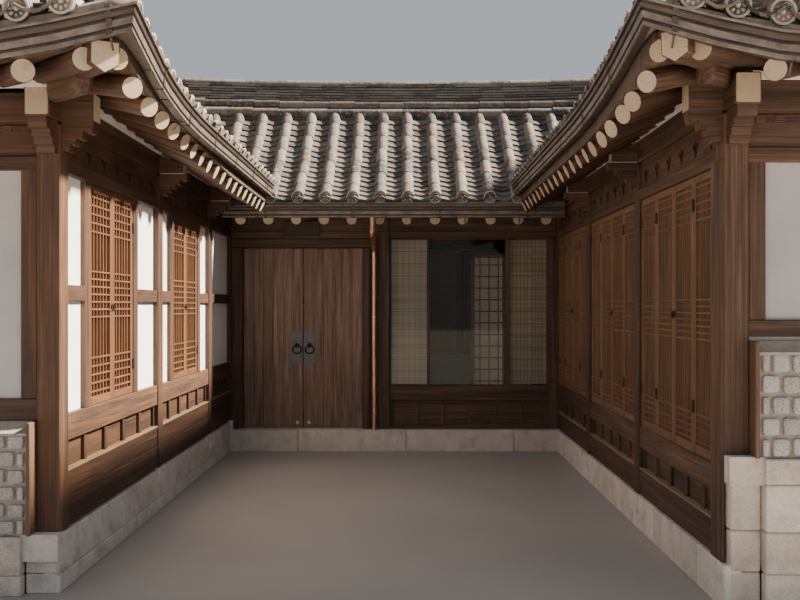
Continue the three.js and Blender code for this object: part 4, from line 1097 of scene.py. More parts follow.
leaf_spans = (("left", -1, gate_left, meeting - 0.0043), ("right", 1, meeting + 0.0043, gate_right))
for number, (name, way, x0, x1) in enumerate(leaf_spans):
    body = f"gate_{name}_leaf"
    heap = Heap(74 + number)
    pitch = (x1 - x0) / planks_per_leaf
    for i in range(planks_per_leaf):
        a, b = x0 + i * pitch + 0.0008, x0 + (i + 1) * pitch - 0.0008
        block(heap, (a, leaf_front, leaf_low), (b, leaf_front + 0.028, leaf_high), 0.002, run=2)
    for z in (leaf_low + 0.10, leaf_low + 0.74, leaf_low + 1.38, leaf_high - 0.20):
        block(heap, (x0 + 0.002, leaf_front + 0.026, z), (x1 - 0.002, leaf_back, z + 0.10), 0.004)
    boss(heap, meeting + way * 0.071, 0.331, -0.002, 0.008, 0.021, 18, 1)
    heap.build(f"gate_{name}_plank_leaf", [gate_stain, bright_steel], "gate_planks", body, body=body)

    heap = Heap(76 + number)
    x = meeting + way * 0.077
    low, high = (x - 0.065, leaf_front - 0.004, 1.04), (x + 0.065, leaf_front + 0.001, 1.45)
    block(heap, low, high, 0.0015, run=2)
    for s in (-0.052, 0.052):
        for z in (1.055, 1.15, 1.245, 1.34, 1.435):
            boss(heap, x + s, z, 0.003, 0.009, 0.007, 8)
    boss(heap, x, 1.27, 0.003, 0.010, 0.030, 16, 1)
    boss(heap, x, 1.27, 0.006, 0.022, 0.013, 12, 1)
    ring_of(heap, (x, leaf_front - 0.014, 1.22), 0.050, 0.009, (0, 1, 0), 1, 28, 10)
    plate = f"gate_{name}_plate_and_ring"
    heap.build(plate, [plate_steel, black_iron], "iron", f"gate_{name}_ring_plate", body=body)

board_stain = coat(
    "black_board_stain", 0.55, ((3, 60, 60), 5, 0.6, 0.4),
    [(0.3, (0.016, 0.013, 0.011)), (0.7, (0.042, 0.032, 0.026))], bump=(0.002,),
)
heap = Heap(78)
board_left, board_right, board_low, board_high = -1.335, -0.895, 2.60, 2.78
block(heap, (board_left, -0.088, board_low), (board_right, -0.062, board_high), 0.004)
for z in (board_low, board_high - 0.02):
    block(heap, (board_left, -0.09, z), (board_right, -0.066, z + 0.02), 0.003)
for x in (board_left, board_right - 0.02):
    block(heap, (x, -0.09, board_low), (x + 0.02, -0.066, board_high), 0.003, run=2)
block(heap, (-1.15, -0.065, 2.68), (-1.08, -0.05, 2.72), 0.002)
heap.build("bare_board_over_gate", [board_stain], "timber", "board_over_gate")

# Window of the gate range
# One large fixed pane behind two slender mullions in a heavy frame, with a dado of boards
# below. Reed blinds hang behind the side lights, and a lattice screen stands in the room.

pane_low, pane_high = 0.79, 2.56
window_left, window_right = -0.036, 1.864
mullions = ((0.405, 0.440), (1.355, 1.405))

window_post, window_jamb, window_floor = -0.05, 1.879, 0.60

heap = Heap(81)
for y0, y1, z0, z1, chamfer in (
    (-0.05, 0.05, window_floor, pane_low, 0.006), (-0.054, -0.03, 0.772, pane_low, 0.004),
    (-0.035, 0.035, pane_high, lintel_top, 0.003),
):
    block(heap, (window_post, y0, z0), (window_jamb, y1, z1), chamfer)
for x0, x1 in ((window_post, window_left), (window_right, window_jamb), *mullions):
    block(heap, (x0, -0.035, 0.78), (x1, 0.035, 2.57), 0.004, run=2)
heap.build("window_frame_and_mullions", frame_materials, "timber", "window_frame")

pane_glass, _, sockets = finish("pane_glass", roughness=0.02, metallic=1.0)
sockets["Base Color"].default_value = (0.32, 0.35, 0.35, 1)
sockets["Alpha"].default_value = 0.03
heap = Heap(82)
low, high = (window_left - 0.008, -0.003, 0.782), (window_right + 0.008, 0.003, pane_high + 0.008)
block(heap, low, high, 0, 0)
heap.build("window_pane", [pane_glass], "glass", "window_glass")

reed, wire, sockets = finish("reed_blind", roughness=0.9)
faded = mixed(wire, tone_of(wire), (0.40, 0.355, 0.265), (0.26, 0.225, 0.165))
wire.join(faded, sockets["Base Color"])
# Darker strips in a grid across each blind: painted shadow of a lattice behind it.
blind_lattice_shadow = plain_coat("reed_blind_painted_lattice_shadow", (0.155, 0.125, 0.085), 0.9)
blind_foot, reeds, shadow_rows = 0.80, 170, 12
blind_height = pane_high - blind_foot
half_reed = blind_height / reeds * 0.42
for number, (name, x0, x1, columns) in enumerate((
    ("left", window_left + 0.004, 0.401, 6), ("right", 1.409, window_right - 0.004, 10),
)):
    heap = Heap(83 + number)
    for i in range(reeds):
        z = blind_foot + blind_height * (i + 0.5) / reeds
        block(heap, (x0, 0.0155, z - half_reed), (x1, 0.0195, z + half_reed), 0)
    # The grid of darker strips is painted lattice shadow.
    for i in range(1, columns):
        x = x0 + (x1 - x0) * i / columns
        block(heap, (x - 0.0035, 0.0142, blind_foot), (x + 0.0035, 0.0215, pane_high), 0, 1, run=2)
    for i in range(1, shadow_rows):
        z = blind_foot + blind_height * i / shadow_rows
        block(heap, (x0, 0.0145, z - 0.003), (x1, 0.0212, z + 0.003), 0, 1)
    block(heap, (x0, 0.0142, blind_foot), (x1, 0.0218, blind_foot + 0.015), 0.001)
    heap.build(f"window_{name}_reed_blind", [reed, blind_lattice_shadow], "blind", f"window_{name}_blind")

heap = Heap(85)
block(heap, (window_post, -0.012, gate_base), (window_jamb, 0.0, window_floor), 0, 0)
for z0, z1 in ((gate_base, 0.315), (0.56, window_floor)):
    block(heap, (window_post, -0.030, z0), (window_jamb, -0.004, z1), 0.004)
dado_posts = 6
for i in range(dado_posts + 1):
    x = window_post + 1.889 * i / dado_posts
    block(heap, (x, -0.030, 0.315), (x + 0.04, -0.004, 0.56), 0.004, run=2)
heap.build("window_board_dado", [timber], "timber", "window_dado")

heap = Heap(86)
screen_low, screen_high, screen_left, screen_right = 0.60, 2.45, 1.01, 1.86
for x in (screen_left, 1.43, screen_right - 0.05):
    block(heap, (x, 1.09, screen_low), (x + 0.05, 1.125, screen_high), 0.003, run=2)
for z0, z1 in ((screen_low, 0.68), (2.39, screen_high)):
    block(heap, (screen_left, 1.09, z0), (screen_right, 1.125, z1), 0.003)
block(heap, (screen_left, 1.106, screen_low), (screen_right, 1.11, screen_high), 0, 1)
screen_bars, screen_rows = 7, 12
for i in range(1, screen_bars):
    x = screen_left + (screen_right - screen_left) * i / screen_bars
    block(heap, (x - 0.008, 1.094, screen_low), (x + 0.008, 1.106, screen_high), 0, run=2)
for i in range(1, screen_rows):
    z = screen_low + (screen_high - screen_low) * i / screen_rows
    block(heap, (screen_left, 1.092, z - 0.008), (screen_right, 1.104, z + 0.008), 0)
heap.build("room_lattice_screen", [lattice_pine, window_paper], "lattice", "room_screen")

# Rafters and eaves
# Round pine rafters with cream-painted ends lie on the purlins, fanned towards each corner,
# where a squared hip beam carries the lifted tip. Boards lie over them under a deep fascia,
# and white plaster fills between them above the purlins.

wing_half = 0.54 + wing_span / 2
wing_axis = court_half + wing_span / 2
wing_eave = 3.14
street_eave, back_eave = -7.08, 3.2
corner_run, cross_run = 2.6, 1.5
deck_thickness = 0.12
rafter_radius, rafter_inset, rafter_drop = 0.064, 0.045, 0.055
tip_gap = 0.12
wall_overhang = 0.54
pitch_of_rafters = 0.45
past_purlin = 0.225
eave_axis = purlin_top - pitch_of_rafters * wall_overhang
resting_z = eave_axis + rafter_drop


def slope(eave, distance):
    return eave + 0.57 * distance + 0.09 * max(distance, 0.0) ** 2


def fade(distance, run):
    return max(0.0, 1 - distance / run) ** 2


def end_distance(y):
    return min(y - street_eave, back_eave - y)


def wing_top(wing, side_distance, y, end=False):
    lift = wing["lift"] * fade(side_distance, cross_run) * fade(end_distance(y), corner_run)
    return slope(wing_eave, end_distance(y) if end else side_distance) + lift


def side_bulge(wing, y):
    return wing["bulge"] * fade(end_distance(y), corner_run)


def end_bulge(wing, offset):
    return wing["bulge"] * 0.5 * fade(wing_half - abs(offset), wing_half)


def wing_x(wing, offset):
    return wing["side"] * wing_axis + offset


def inner_rafter_z(overhang):
    """The height of a rafter's inner end, where it has passed over the purlin on its wall."""
    rise = (purlin_top + 0.008 - eave_axis) / (overhang - 0.03)
    return resting_z + rise * (overhang - 0.03 + past_purlin)


def side_rafter(wing, flank, y):
    """Outer and inner end of a rafter over a side wall, and the underside of the deck there."""
    low, high, fan = wing["lines"][0] + 0.125, wing["lines"][-1] - 0.125, 1.5
    inner_y = y
    if y < low + fan:
        inner_y = low + fan - (low + fan - y) * fan / (low + fan - street_eave)
    if y > high - fan:
        inner_y = high - fan + (y - high + fan) * fan / (back_eave - high + fan)
    z = resting_z + np.interp(end_distance(y), *wing["side_lift"])
    beside_tip = 0.03 if end_distance(y) < 0.16 else 0.0
    reach = wing_half + side_bulge(wing, y) - rafter_inset - beside_tip
    outer = np.array([wing_x(wing, flank * reach), y, z])
    inner_x = wing_x(wing, flank * (wing_span / 2 - past_purlin))
    inner = np.array([inner_x, inner_y, inner_rafter_z(wall_overhang)])
    return outer, inner, wing_top(wing, rafter_inset - side_bulge(wing, y), y) - deck_thickness


def end_rafter(wing, offset, way):
    """The same for a rafter over the street wall (way -1) or the back wall (way 1)."""
    eave_y = street_eave if way < 0 else back_eave
    y = eave_y + way * (end_bulge(wing, offset) - rafter_inset)
    overhang = wing["lines"][0] - column / 2 - street_eave if way < 0 else 0.725
    inner_y = wing["lines"][0] + 0.15 if way < 0 else wing["lines"][-1] - 0.15
    z = resting_z + wing["end_lift"] * fade(wing_half - abs(offset), cross_run)
    outer = np.array([wing_x(wing, offset), y, z])
    inner_x = wing_x(wing, offset * (wing_span / 2 - 0.26) / (wing_half + 0.02))
    inner = np.array([inner_x, inner_y, inner_rafter_z(overhang)])
    return outer, inner, wing_top(wing, wing_half - abs(offset), y, True) - deck_thickness


def spaced(start, end, gaps_at_start, pitch):
    """Places from start towards end: the wide fan gaps first, then one even pitch."""
    way = 1 if end > start else -1
    places = list(start + way * np.cumsum([0, *gaps_at_start]))
    rest = round(abs(end - places[-1]) / pitch)
    return places + list(np.linspace(places[-1], end, rest + 1)[1:])


side_pitch = 0.30
wings["left"].update(
    fan=(0.30, 0.54, 0.43, 0.41, 0.41, 0.32), end_gap=0.065, end_fan=(0.32,), end_lift=0.15,
    nose=2.952, nose_in=0.11,
    side_lift=((0.12, 0.4, 1.8, 2.2, 2.86, 4.0), (0.175, 0.088, 0.087, 0.08, 0.045, 0.0)),
)
wings["right"].update(
    fan=(0.18, 0.39, 0.29, 0.39, 0.33, 0.35), end_gap=0.222, end_fan=(0.387,), end_lift=0.28,
    nose=3.02, nose_in=0.135,
    side_lift=(
        (0.12, 0.3, 0.69, 0.98, 1.37, 1.7, 2.1), (0.215, 0.094, 0.066, 0.047, 0.027, 0.014, 0.0),
    ),
)


def wing_rafters(wing):
    """Every rafter of a wing in turn, from the gate range round the street to the back."""
    court = -wing["side"]
    street, back = street_eave + tip_gap, back_eave - tip_gap
    half_row = spaced(wing["end_gap"] - wing_half, 0.0, wing["end_fan"], side_pitch)
    across = half_row + [-offset for offset in reversed(half_row[:-1])]
    court_side = reversed(spaced(street, -0.9, wing["fan"], side_pitch))
    runs = [side_rafter(wing, court, y) for y in court_side]
    runs += [end_rafter(wing, -court * offset, -1) for offset in across]
    outer_side = spaced(street, 0.0, wing["fan"], side_pitch)
    outer_side += list(reversed(spaced(back, 0.0, wing["fan"], side_pitch)))[1:]
    runs += [side_rafter(wing, -court, y) for y in outer_side]
    runs += [end_rafter(wing, court * offset, 1) for offset in across]
    return runs


def round_rafter(heap, outer, inner):
    """A trunk trimmed square at its outer end, a little crooked and tapered inward."""
    axis = unit(inner - outer)
    length = np.linalg.norm(inner - outer)
    level = unit(np.cross(axis, (0, 0, 1)))
    over = np.cross(level, axis)
    outline = np.array(circle(1.0, 14))
    rings, grain = [], []
    for s, scale in ((0.0, 0.93), (0.004, 0.98), (0.25, 1.0), (0.6, 0.98), (1.0, 0.95)):
        bow = 0.004 * math.sin(math.pi * s)
        centre = outer + axis * length * s + over * bow
        rings.append(centre + rafter_radius * scale * (outline @ (level, over)))
        grain.append(np.column_stack([np.full(14, s * length), outline * rafter_radius]))
    loft(heap, rings, 0, None, grain)
    heap.paints[-2] = 1



def boarded(name, roughness, fibre, colours, seam_axis, seams_scale, seam_end, seam_colour):
    """Boards side by side: fibre through a two-colour ramp, with a dark seam at each joint."""
    material, wire, sockets = finish(name, roughness)
    grain = grain_of(wire)
    stretch, *rest = fibre
    drawn = noise(wire, stretched(wire, grain, stretch), 1.0, *rest)
    bed = ramp(wire, drawn, list(zip((0.3, 0.7), colours)))
    settings = {"wave_type": "BANDS", "bands_direction": seam_axis, "wave_profile": "SAW"}
    sockets_of_wave = {"Vector": grain, "Scale": seams_scale, "Distortion": 0.0}
    wave = wire.node("ShaderNodeTexWave", settings, sockets_of_wave)
    seams = ramp(wire, wave, [(0.03, 1.0), (seam_end, 0.0)])
    wire.join(mixed(wire, seams, bed, seam_colour), sockets["Base Color"])
    return material


soffit_board = boarded(
    "soffit_boards", 0.7, ((4, 40, 4), 5, 0.6, 0.3), ((0.10, 0.052, 0.028), (0.235, 0.135, 0.075)),
    "Y", 2.2, 0.06, (0.02, 0.012, 0.008),
)

eave_board = coat(
    "eave_fascia_board", 0.65, ((2, 40, 40), 5, 0.6),
    [(0.3, (0.060, 0.037, 0.024)), (0.7, (0.13, 0.088, 0.062))], toned=(0.6, (0.6, 0.52, 0.46)),
)

rafter_materials = [timber, end_paint, soffit_board, eave_board, plaster]


def soffit(heap, runs):
    """The boarding on top of a run of rafters, up to the underside of the roof."""
    rings, grain, s = [], [], 0.0
    before, lift = runs[0][0], upward(rafter_radius - 0.008)
    for outer, inner, deck in runs:
        s += np.linalg.norm(outer - before)
        before = outer
        top_outer = np.array([outer[0], outer[1], max(deck, outer[2] + rafter_radius + 0.01)])
        depth = np.linalg.norm((inner - outer)[:2])
        rings.append([outer + lift, top_outer, inner + upward(0.087), inner + lift])
        grain.append([(s, 0, 0), (s, 0, 0.1), (s, depth, 0.1), (s, depth, 0)])
    loft(heap, rings, 2, None, grain)


def level_normal(a, b, inside):
    """The level direction across a run from a to b that leads away from a place inside."""
    along = b - a
    out = unit(np.array([along[1], -along[0], 0]))
    return -out if np.dot(out, (a - inside) * (1, 1, 0)) < 0 else out


for number, (name, wing) in enumerate(wings.items()):
    heap = Heap(91 + number)
    runs = wing_rafters(wing)
    for outer, inner, deck in runs:
        round_rafter(heap, outer, inner)
    soffit(heap, runs)
    court = -wing["side"]

    infill_low = purlin_top - 0.01
    corner_gap = 0.6
    for pair in zip(runs, runs[1:]):
        (outer, inner, _), (next_outer, _, _) = pair
        if np.linalg.norm(outer - next_outer) > corner_gap:
            continue
        a, b = (start + (end - start) * 0.66 for start, end, _ in pair)
        out = unit((outer - inner) * (1, 1, 0))
        rings = []
        for place in np.linspace(a, b, 5):
            top = purlin_top + heap.between(0.018, 0.046)
            corners = ((0.02, infill_low), (0.02, top), (-0.05, top), (-0.05, infill_low))
            rings.append([(*(place + out * s)[:2], z) for s, z in corners])
        loft(heap, rings, 4)

    nose = [(-0.075, 0.03), (0.0, -0.015), (0.075, 0.03), (0.075, 0.15), (-0.075, 0.15)]
    carved = [
        (-0.030, -0.085), (0.030, -0.085), (0.048, -0.065), (0.055, -0.03),
        (0.055, 0.02), (-0.055, 0.02), (-0.055, -0.03), (-0.048, -0.065),
    ]
    for flank, way in ((court, -1), (-court, -1), (-court, 1)):
        ends = (street_eave, wing["lines"][0]), (back_eave, wing["lines"][-1])
        eave_y, wall_y = ends[way > 0]
        root_x = wing_x(wing, flank * (wing_span / 2 - 0.25))
        root = np.array([root_x, wall_y - way * 0.2, purlin_top + 0.045])
        tip_x = wing_x(wing, flank * (wing_half + wing["bulge"])) - flank * wing["nose_in"]
        tip_y = eave_y + way * (end_bulge(wing, flank * wing_half) - 0.05)
        tip = np.array([tip_x, tip_y, wing["nose"]])
        member(heap, root, tip, nose, chamfer=0.006, end_paint=1)
        axis = unit(tip - root)
        member(heap, root + axis * 0.35, tip - axis * 0.40, carved, chamfer=0.02)

    for (a, _, deck_a), (b, _, deck_b) in zip(runs, runs[1:]):
        if np.linalg.norm(a - b) > corner_gap + 0.15:
            continue
        along_side = abs(a[0] - b[0]) < abs(a[1] - b[1])
        inside = (wing_x(wing, 0), a[1], 0) if along_side else (a[0], -2, 0)
        out = level_normal(a, b, inside)
        rings = []
        for p, deck_z in ((a, deck_a), (b, deck_b)):
            low, high = p[2] + rafter_radius - 0.006, max(deck_z, p[2] + rafter_radius) - 0.004
            corners = ((-0.006, low), (0.034, low), (0.034, high), (-0.006, high))
            rings.append([(*(p + out * s)[:2], z) for s, z in corners])
        loft(heap, rings, 3)
    heap.build(f"{name}_round_rafters_and_eaves", rafter_materials, "timber", f"{name}_rafters")

gate_eave, gate_eave_y, gate_ridge_y = 2.95, -0.715, 1.2
gate_back_eave_y = 2 * gate_ridge_y - gate_eave_y


def gate_top(y):
    return slope(gate_eave, min(y - gate_eave_y, gate_back_eave_y - y))


rafter_pitch, rafter_rise = 0.32, 0.5
for number, (name, eave_y, inward, wall_y, count) in enumerate((
    ("front", gate_eave_y, 1, -0.075, 12), ("back", gate_back_eave_y, -1, 2.475, 9),
)):
    heap = Heap(95 + number)
    outer_y = eave_y + inward * 0.025
    run = abs(wall_y - outer_y)
    z = gate_purlin + rafter_drop - rafter_rise * run + 0.006
    deck = gate_top(outer_y) - deck_thickness
    places = [(i - (count - 1) / 2) * rafter_pitch for i in range(count)]
    runs = []
    for x in places:
        outer = np.array([x, outer_y, z])
        inner = outer + (0, inward * (run + past_purlin), rafter_rise * (run + past_purlin))
        round_rafter(heap, outer, inner)
        runs.append((outer, inner, deck))
    soffit(heap, runs)
    for x in places[:-1]:
        low = (x, wall_y + inward * 0.02, gate_purlin)
        block(heap, low, (x + rafter_pitch, wall_y + inward * 0.09, gate_purlin + 0.12), 0, 4)
    low = (places[0] - 0.06, outer_y - inward * 0.012, z + rafter_radius - 0.002)
    block(heap, low, (places[-1] + 0.06, outer_y + inward * 0.025, deck - 0.005), 0.003, 3)
    rafters = f"gate_range_{name}_round_rafters"
    heap.build(rafters, rafter_materials, "timber", f"gate_range_{name}_rafters")

# Tiled roofs
# Fired grey clay tiles on a bed of mortar and earth: courses of concave tiles with a row of
# round tiles over each joint, and a stamped flower disc at the foot of each round row.

roof_bed = coat(
    "roof_mortar_bed", 0.95, (14, 5, 0.65),
    [(0.3, (0.17, 0.155, 0.135)), (0.7, (0.33, 0.30, 0.26))], place=object_place,
)


def clay(name, dark, light, lichen, patches):
    material, wire, sockets = finish(name, roughness=0.85)
    grain, tone = grain_of(wire), tone_of(wire)
    mottle = noise(wire, grain, 13, 6, 0.68)
    bed = ramp(wire, mottle * 0.62 + tone * 0.38, [(0.32, dark), (0.66, light)])
    spots = ramp(wire, noise(wire, grain, 24, 4, 0.6), [(0.54, 0.0), (0.64, patches)])
    warm = ramp(wire, noise(wire, grain, 5, 4, 0.65), [(0.50, 0.0), (0.66, patches)])
    grown = mixed(wire, spots, bed, lichen)
    wire.join(mixed(wire, warm, grown, (0.235, 0.150, 0.088)), sockets["Base Color"])
    relief(wire, sockets, noise(wire, grain, 55, 5, 0.7), 0.003)
    return material


# The discs take a paler clay than the tiles, painted light so that they read pale where they stand out of
# the sun.
round_clay, concave_clay, ridge_clay, brightened_disc_clay = (clay(f"{name}_clay", *rest) for name, *rest in (
    ("round_tile", (0.052, 0.050, 0.049), (0.190, 0.176, 0.163), (0.31, 0.28, 0.245), 0.7),
    ("concave_tile", (0.036, 0.035, 0.034), (0.125, 0.120, 0.114), (0.25, 0.235, 0.21), 0.5),
    ("ridge_tile", (0.064, 0.062, 0.060), (0.215, 0.205, 0.195), (0.28, 0.265, 0.24), 0.5),
    ("stamped_disc", (0.28, 0.26, 0.23), (0.52, 0.48, 0.42), (0.50, 0.45, 0.38), 0.4),
))
tile_mortar = coat(
    "tile_mortar", 0.95, (40, 4, 0.6), [(0.3, (0.27, 0.24, 0.205)), (0.7, (0.50, 0.46, 0.41))],
)
tile_materials = [round_clay, concave_clay, ridge_clay, tile_mortar, brightened_disc_clay]

for node in ("left_roof_deck", "right_roof_deck", "gate_range_roof_deck"):
    bpy.data.objects[node].material_slots[0].material = roof_bed

bed_lift = 0.012
concave_length, concave_thickness, concave_sag = 0.10875, 0.018, 0.050
round_length, round_lift = 0.2523, 0.040


class Slope:
    """One slope of a roof: a place for every distance along its eave and up from it."""

    def __init__(self, surface, pitch, round_tile):
        self.surface = surface
        self.pitch = pitch
        self.round_tile = round_tile

    def axes(self, r, d):
        here = np.array(self.surface(r, d))
        uphill = unit(np.array(self.surface(r, d + 0.05)) - np.array(self.surface(r, d - 0.05)))
        across = unit(np.array(self.surface(r + 0.05, d)) - np.array(self.surface(r - 0.05, d)))
        normal = unit(np.cross(across, uphill))
        if normal[2] < 0:
            normal = -normal
        return here, uphill, across, normal


def concave_row(heap, roof, r, start, end):
    """Concave tiles up the slope, each one's foot lying over the head of the one below."""
    width = roof.pitch - 0.035
    count = max(1, round((end - start) / concave_length))
    step = (end - start) / count
    for i in range(count):
        d0 = start + i * step
        rings = []
        slip = heap.between(-0.006, 0.006)
        for d, raised in ((d0 - 0.012 + slip, 0.030), (d0 + step + 0.01, 0.006)):
            here, uphill, across, normal = roof.axes(r, d)
            bottom = bed_lift + raised
            upper = [(s, bottom + concave_sag * (2 * s) ** 2) for s in (-0.5, -0.3, 0, 0.3, 0.5)]
            lower = [(s, h - concave_thickness) for s, h in reversed(upper)]
            rings.append([here + across * s * width + normal * h for s, h in upper + lower])
        loft(heap, rings, 1)


def round_row(heap, roof, r, start, end, mortar=True):
    """Round tiles up the slope, each narrower head under the foot of the next."""
    radius = roof.round_tile / 2
    count = max(1, round((end - start) / round_length))
    step = (end - start) / count
    arc = [(math.cos(a), max(math.sin(a), -0.4)) for a in np.linspace(-0.25, math.pi + 0.25, 9)]
    wide = radius + 0.016
    fillet = [(-wide, 0.012), (wide, 0.012), (radius * 0.8, 0.052), (-radius * 0.8, 0.052)]
    for i in range(count):
        d0 = start + i * step
        rings = []
        sway, rise = heap.between(-0.005, 0.005), round_lift + heap.between(-0.003, 0.003)
        stations = ((-0.004, 0.95), (0, 1.0), (step * 0.6, 0.985), (step + 0.006, 0.90))
        for d, scale in stations:
            here, uphill, across, normal = roof.axes(r, d0 + d)
            size = radius * scale
            rings.append([here + across * (s * size + sway) + normal * (h * size + rise) for s, h in arc])
        loft(heap, rings, 0)
        if mortar and i == 0:
            rings = []
            for d in (d0 + 0.02, d0 + 0.12):
                here, uphill, across, normal = roof.axes(r, d)
                rings.append([here + across * s + normal * h for s, h in fillet])
            loft(heap, rings, 3)


def flower_disc(heap, centre, out, up, radius):
    """A stamped disc at the foot of a round row: rim, eight petals and a round heart."""
    out = unit(out)
    across = unit(np.cross(out, up))
    up = np.cross(across, out)

    def stamped(outline, d0, d1, paint, shrink=1.0, middle=(0, 0)):
        outline, middle = np.array(outline), np.array(middle)
        rings = []
        for d, scale in ((d0, 1.0), (d1, shrink)):
            rings.append(centre + out * d + (middle + (outline - middle) * scale) @ (across, up))
        loft(heap, rings, paint)

    sides = 18
    rim, inner = np.array(circle(radius, sides)), np.array(circle(radius * 0.80, sides))
    stamped(rim, -0.018, 0.006, 0)
    layers = ((rim, 0.006), (rim, 0.015), (inner, 0.015), (inner, 0.004))
    points = np.concatenate([centre + out * d + ring @ (across, up) for ring, d in layers])
    faces = []
    for layer in range(len(layers) - 1):
        for i in range(sides):
            a, b = layer * sides + i, layer * sides + (i + 1) % sides
            faces.append((a, b, b + sides, a + sides))
    if np.dot(np.cross(points[1] - points[0], points[sides] - points[0]), points[0] - centre) < 0:
        faces = [face[::-1] for face in faces]
    # The disc's field, petals and heart take the paler disc clay, painted light.
    heap.add(points, faces, 4, points)
    petals = 8
    place, long, wide = radius * 0.53, radius * 0.20, radius * 0.15
    for i in range(petals):
        a = 2 * math.pi * i / petals
        c, s = math.cos(a), math.sin(a)
        outline = [((place + long * math.cos(b)) * c - wide * math.sin(b) * s,
                    (place + long * math.cos(b)) * s + wide * math.sin(b) * c)
                   for b in np.linspace(0, 2 * math.pi, 9)[:-1]]
        stamped(outline, 0.004, 0.012, 4, 0.6, (place * c, place * s))
    stamped(circle(radius * 0.22, 12), 0.004, 0.015, 4, 0.7)


def eave_disc(heap, roof, r, d):
    """The disc that closes a round row at the eave, leaning with the slope."""
    here, uphill, across, normal = roof.axes(r, d)
    out = unit(-uphill * (1, 1, 0)) - upward(0.10)
    centre = here + upward(0.052) + unit(out) * 0.026
    flower_disc(heap, centre, out, (0, 0, 1), roof.round_tile / 2 * 1.06)


def wing_slope_surface(wing, flank):
    """Along the eave by y, up the slope by the distance from the straight eave line."""
    def surface(y, d):
        return wing_x(wing, flank * (wing_half - d)), y, wing_top(wing, d, y)
    return surface


def wing_end_surface(wing, way):
    """Along the street or back eave by the offset from the wing's middle."""
    def surface(offset, d):
        eave_y = street_eave if way < 0 else back_eave
        y = eave_y - way * d
        lift = wing["lift"] * fade(wing_half - abs(offset), cross_run) * fade(max(d, 0.0), corner_run)
        return wing_x(wing, offset), y, slope(wing_eave, d) + lift
    return surface


gable_inset, gable_overhang = 1.1, 0.25
gable_street, gable_back = street_eave + gable_inset, back_eave - gable_inset
wing_pitch, wing_round = 0.236, 0.130
ridge_half = 0.115
wing_row_top = wing_half - ridge_half + 0.02
lap = 0.02


def rows_between(start, end, pitch):
    count = round((end - start) / pitch)
    return [start + (end - start) * i / count for i in range(count + 1)]


def tile_slope(heap, roof, rows, spans):
    """Round rows at their places and concave rows halfway between, over the spans at each.

    A span is its start and end up the slope, how far the lowest concave tile laps over its
    start, and whether it begins at the eave with a disc.
    """
    for r in rows:
        for start, end, over, at_eave in spans(r):
            round_row(heap, roof, r, start, end, over > 0)
            if at_eave:
                eave_disc(heap, roof, r, start)
    for a, b in zip(rows, rows[1:]):
        for start, end, over, _ in spans((a + b) / 2):
            concave_row(heap, roof, (a + b) / 2, start - over, end)


def side_spans(wing, flank):
    def spans(y):
        edge = -side_bulge(wing, y)
        if flank == -wing["side"] and y > -0.72:
            edge = 0.0
        if gable_street - 0.01 < y < gable_back + 0.01:
            found = [(edge, wing_row_top, lap, True)]
        else:
            found = [(edge, min(wing_row_top, end_distance(y) - 0.03), lap, True)]
            if gable_street - gable_overhang + 0.05 < y < gable_back + gable_overhang - 0.05:
                found.append((gable_inset + 0.10, wing_row_top, lap, False))
        return [span for span in found if span[1] - span[0] >= 0.08]
    return spans


def end_spans(wing):
    def spans(offset):
        edge = -end_bulge(wing, offset)
        top = min(gable_inset + 0.01, wing_half - abs(offset) - 0.03)
        return [(edge, top, lap, True)] if top - edge >= 0.08 else []
    return spans


for number, (name, wing) in enumerate(wings.items()):
    for flank in (-1, 1):
        heap = Heap(101 + 2 * number + (flank > 0))
        roof = Slope(wing_slope_surface(wing, flank), wing_pitch, wing_round)
        rows = rows_between(street_eave + 0.14, back_eave - 0.14, wing_pitch)
        tile_slope(heap, roof, rows, side_spans(wing, flank))
        for way in (-1, 1) if flank > 0 else ():
            roof_end = Slope(wing_end_surface(wing, way), wing_pitch, wing_round)
            across = rows_between(-wing_half + 0.16, wing_half - 0.16, wing_pitch)
            tile_slope(heap, roof_end, across, end_spans(wing))
        side_name = "outer" if flank == wing["side"] else "court"
        heap.build(f"{name}_{side_name}_slope_tiles", tile_materials, "tile")

centre_round, centre_pitch, first_row = 0.14, 0.315, 0.165


def gate_surface(way):
    def surface(x, d):
        return x, gate_eave_y + d if way < 0 else gate_back_eave_y - d, slope(gate_eave, d)
    return surface


def under_wing(x, y, z):
    """True where a place on the lower roof is already inside a wing's roof."""
    wing = wings["left" if x < 0 else "right"]
    distance = wing_half - abs(abs(x) - wing_axis)
    return distance > 0 and z < wing_top(wing, distance, y) - 0.02


def gate_spans(surface, way):
    """Rows start at the eave between the wings, and beside them where they leave a wing's roof."""
    top = gate_ridge_y - gate_eave_y - ridge_half + 0.02

    def spans(x):
        start = 0.0
        if abs(x) > (court_half - 0.04 if way < 0 else 1.5):
            start = 0.60 if way < 0 else 0.72
        while start < top and under_wing(*surface(x, start)):
            start += 0.03
        at_eave = start == 0
        return [(start, top, 0.03 if at_eave else 0, at_eave)] if top - start >= 0.12 else []
    return spans


for number, (name, way) in enumerate((("front", -1), ("back", 1))):
    heap = Heap(111 + number)
    surface = gate_surface(way)
    rows = [first_row + centre_pitch * k for k in range(-11, 11)]
    tile_slope(heap, Slope(surface, centre_pitch, centre_round), rows, gate_spans(surface, way))
    heap.build(f"gate_range_{name}_slope_tiles", tile_materials, "tile")

# Ridges
# Flat tiles are laid in thin courses on the mortar bed over a course of round tiles on their
# sides, and a line of round tiles closes the top.


def slab(z0, z1, half):
    return [(-half, z0), (half, z0), (half, z1), (-half, z1)]


def dome(z0, z1, half):
    return [(half * math.cos(a), z0 + (z1 - z0) * math.sin(a)) for a in np.linspace(0, math.pi, 9)]


def roll(z0, z1, half):
    side = [(half * (0.82 + 0.18 * math.sin(a)), z0 + (z1 - z0) * (0.5 - 0.5 * math.cos(a)))
            for a in np.linspace(0, math.pi, 6)]
    return side + [(-x, z) for x, z in reversed(side)]


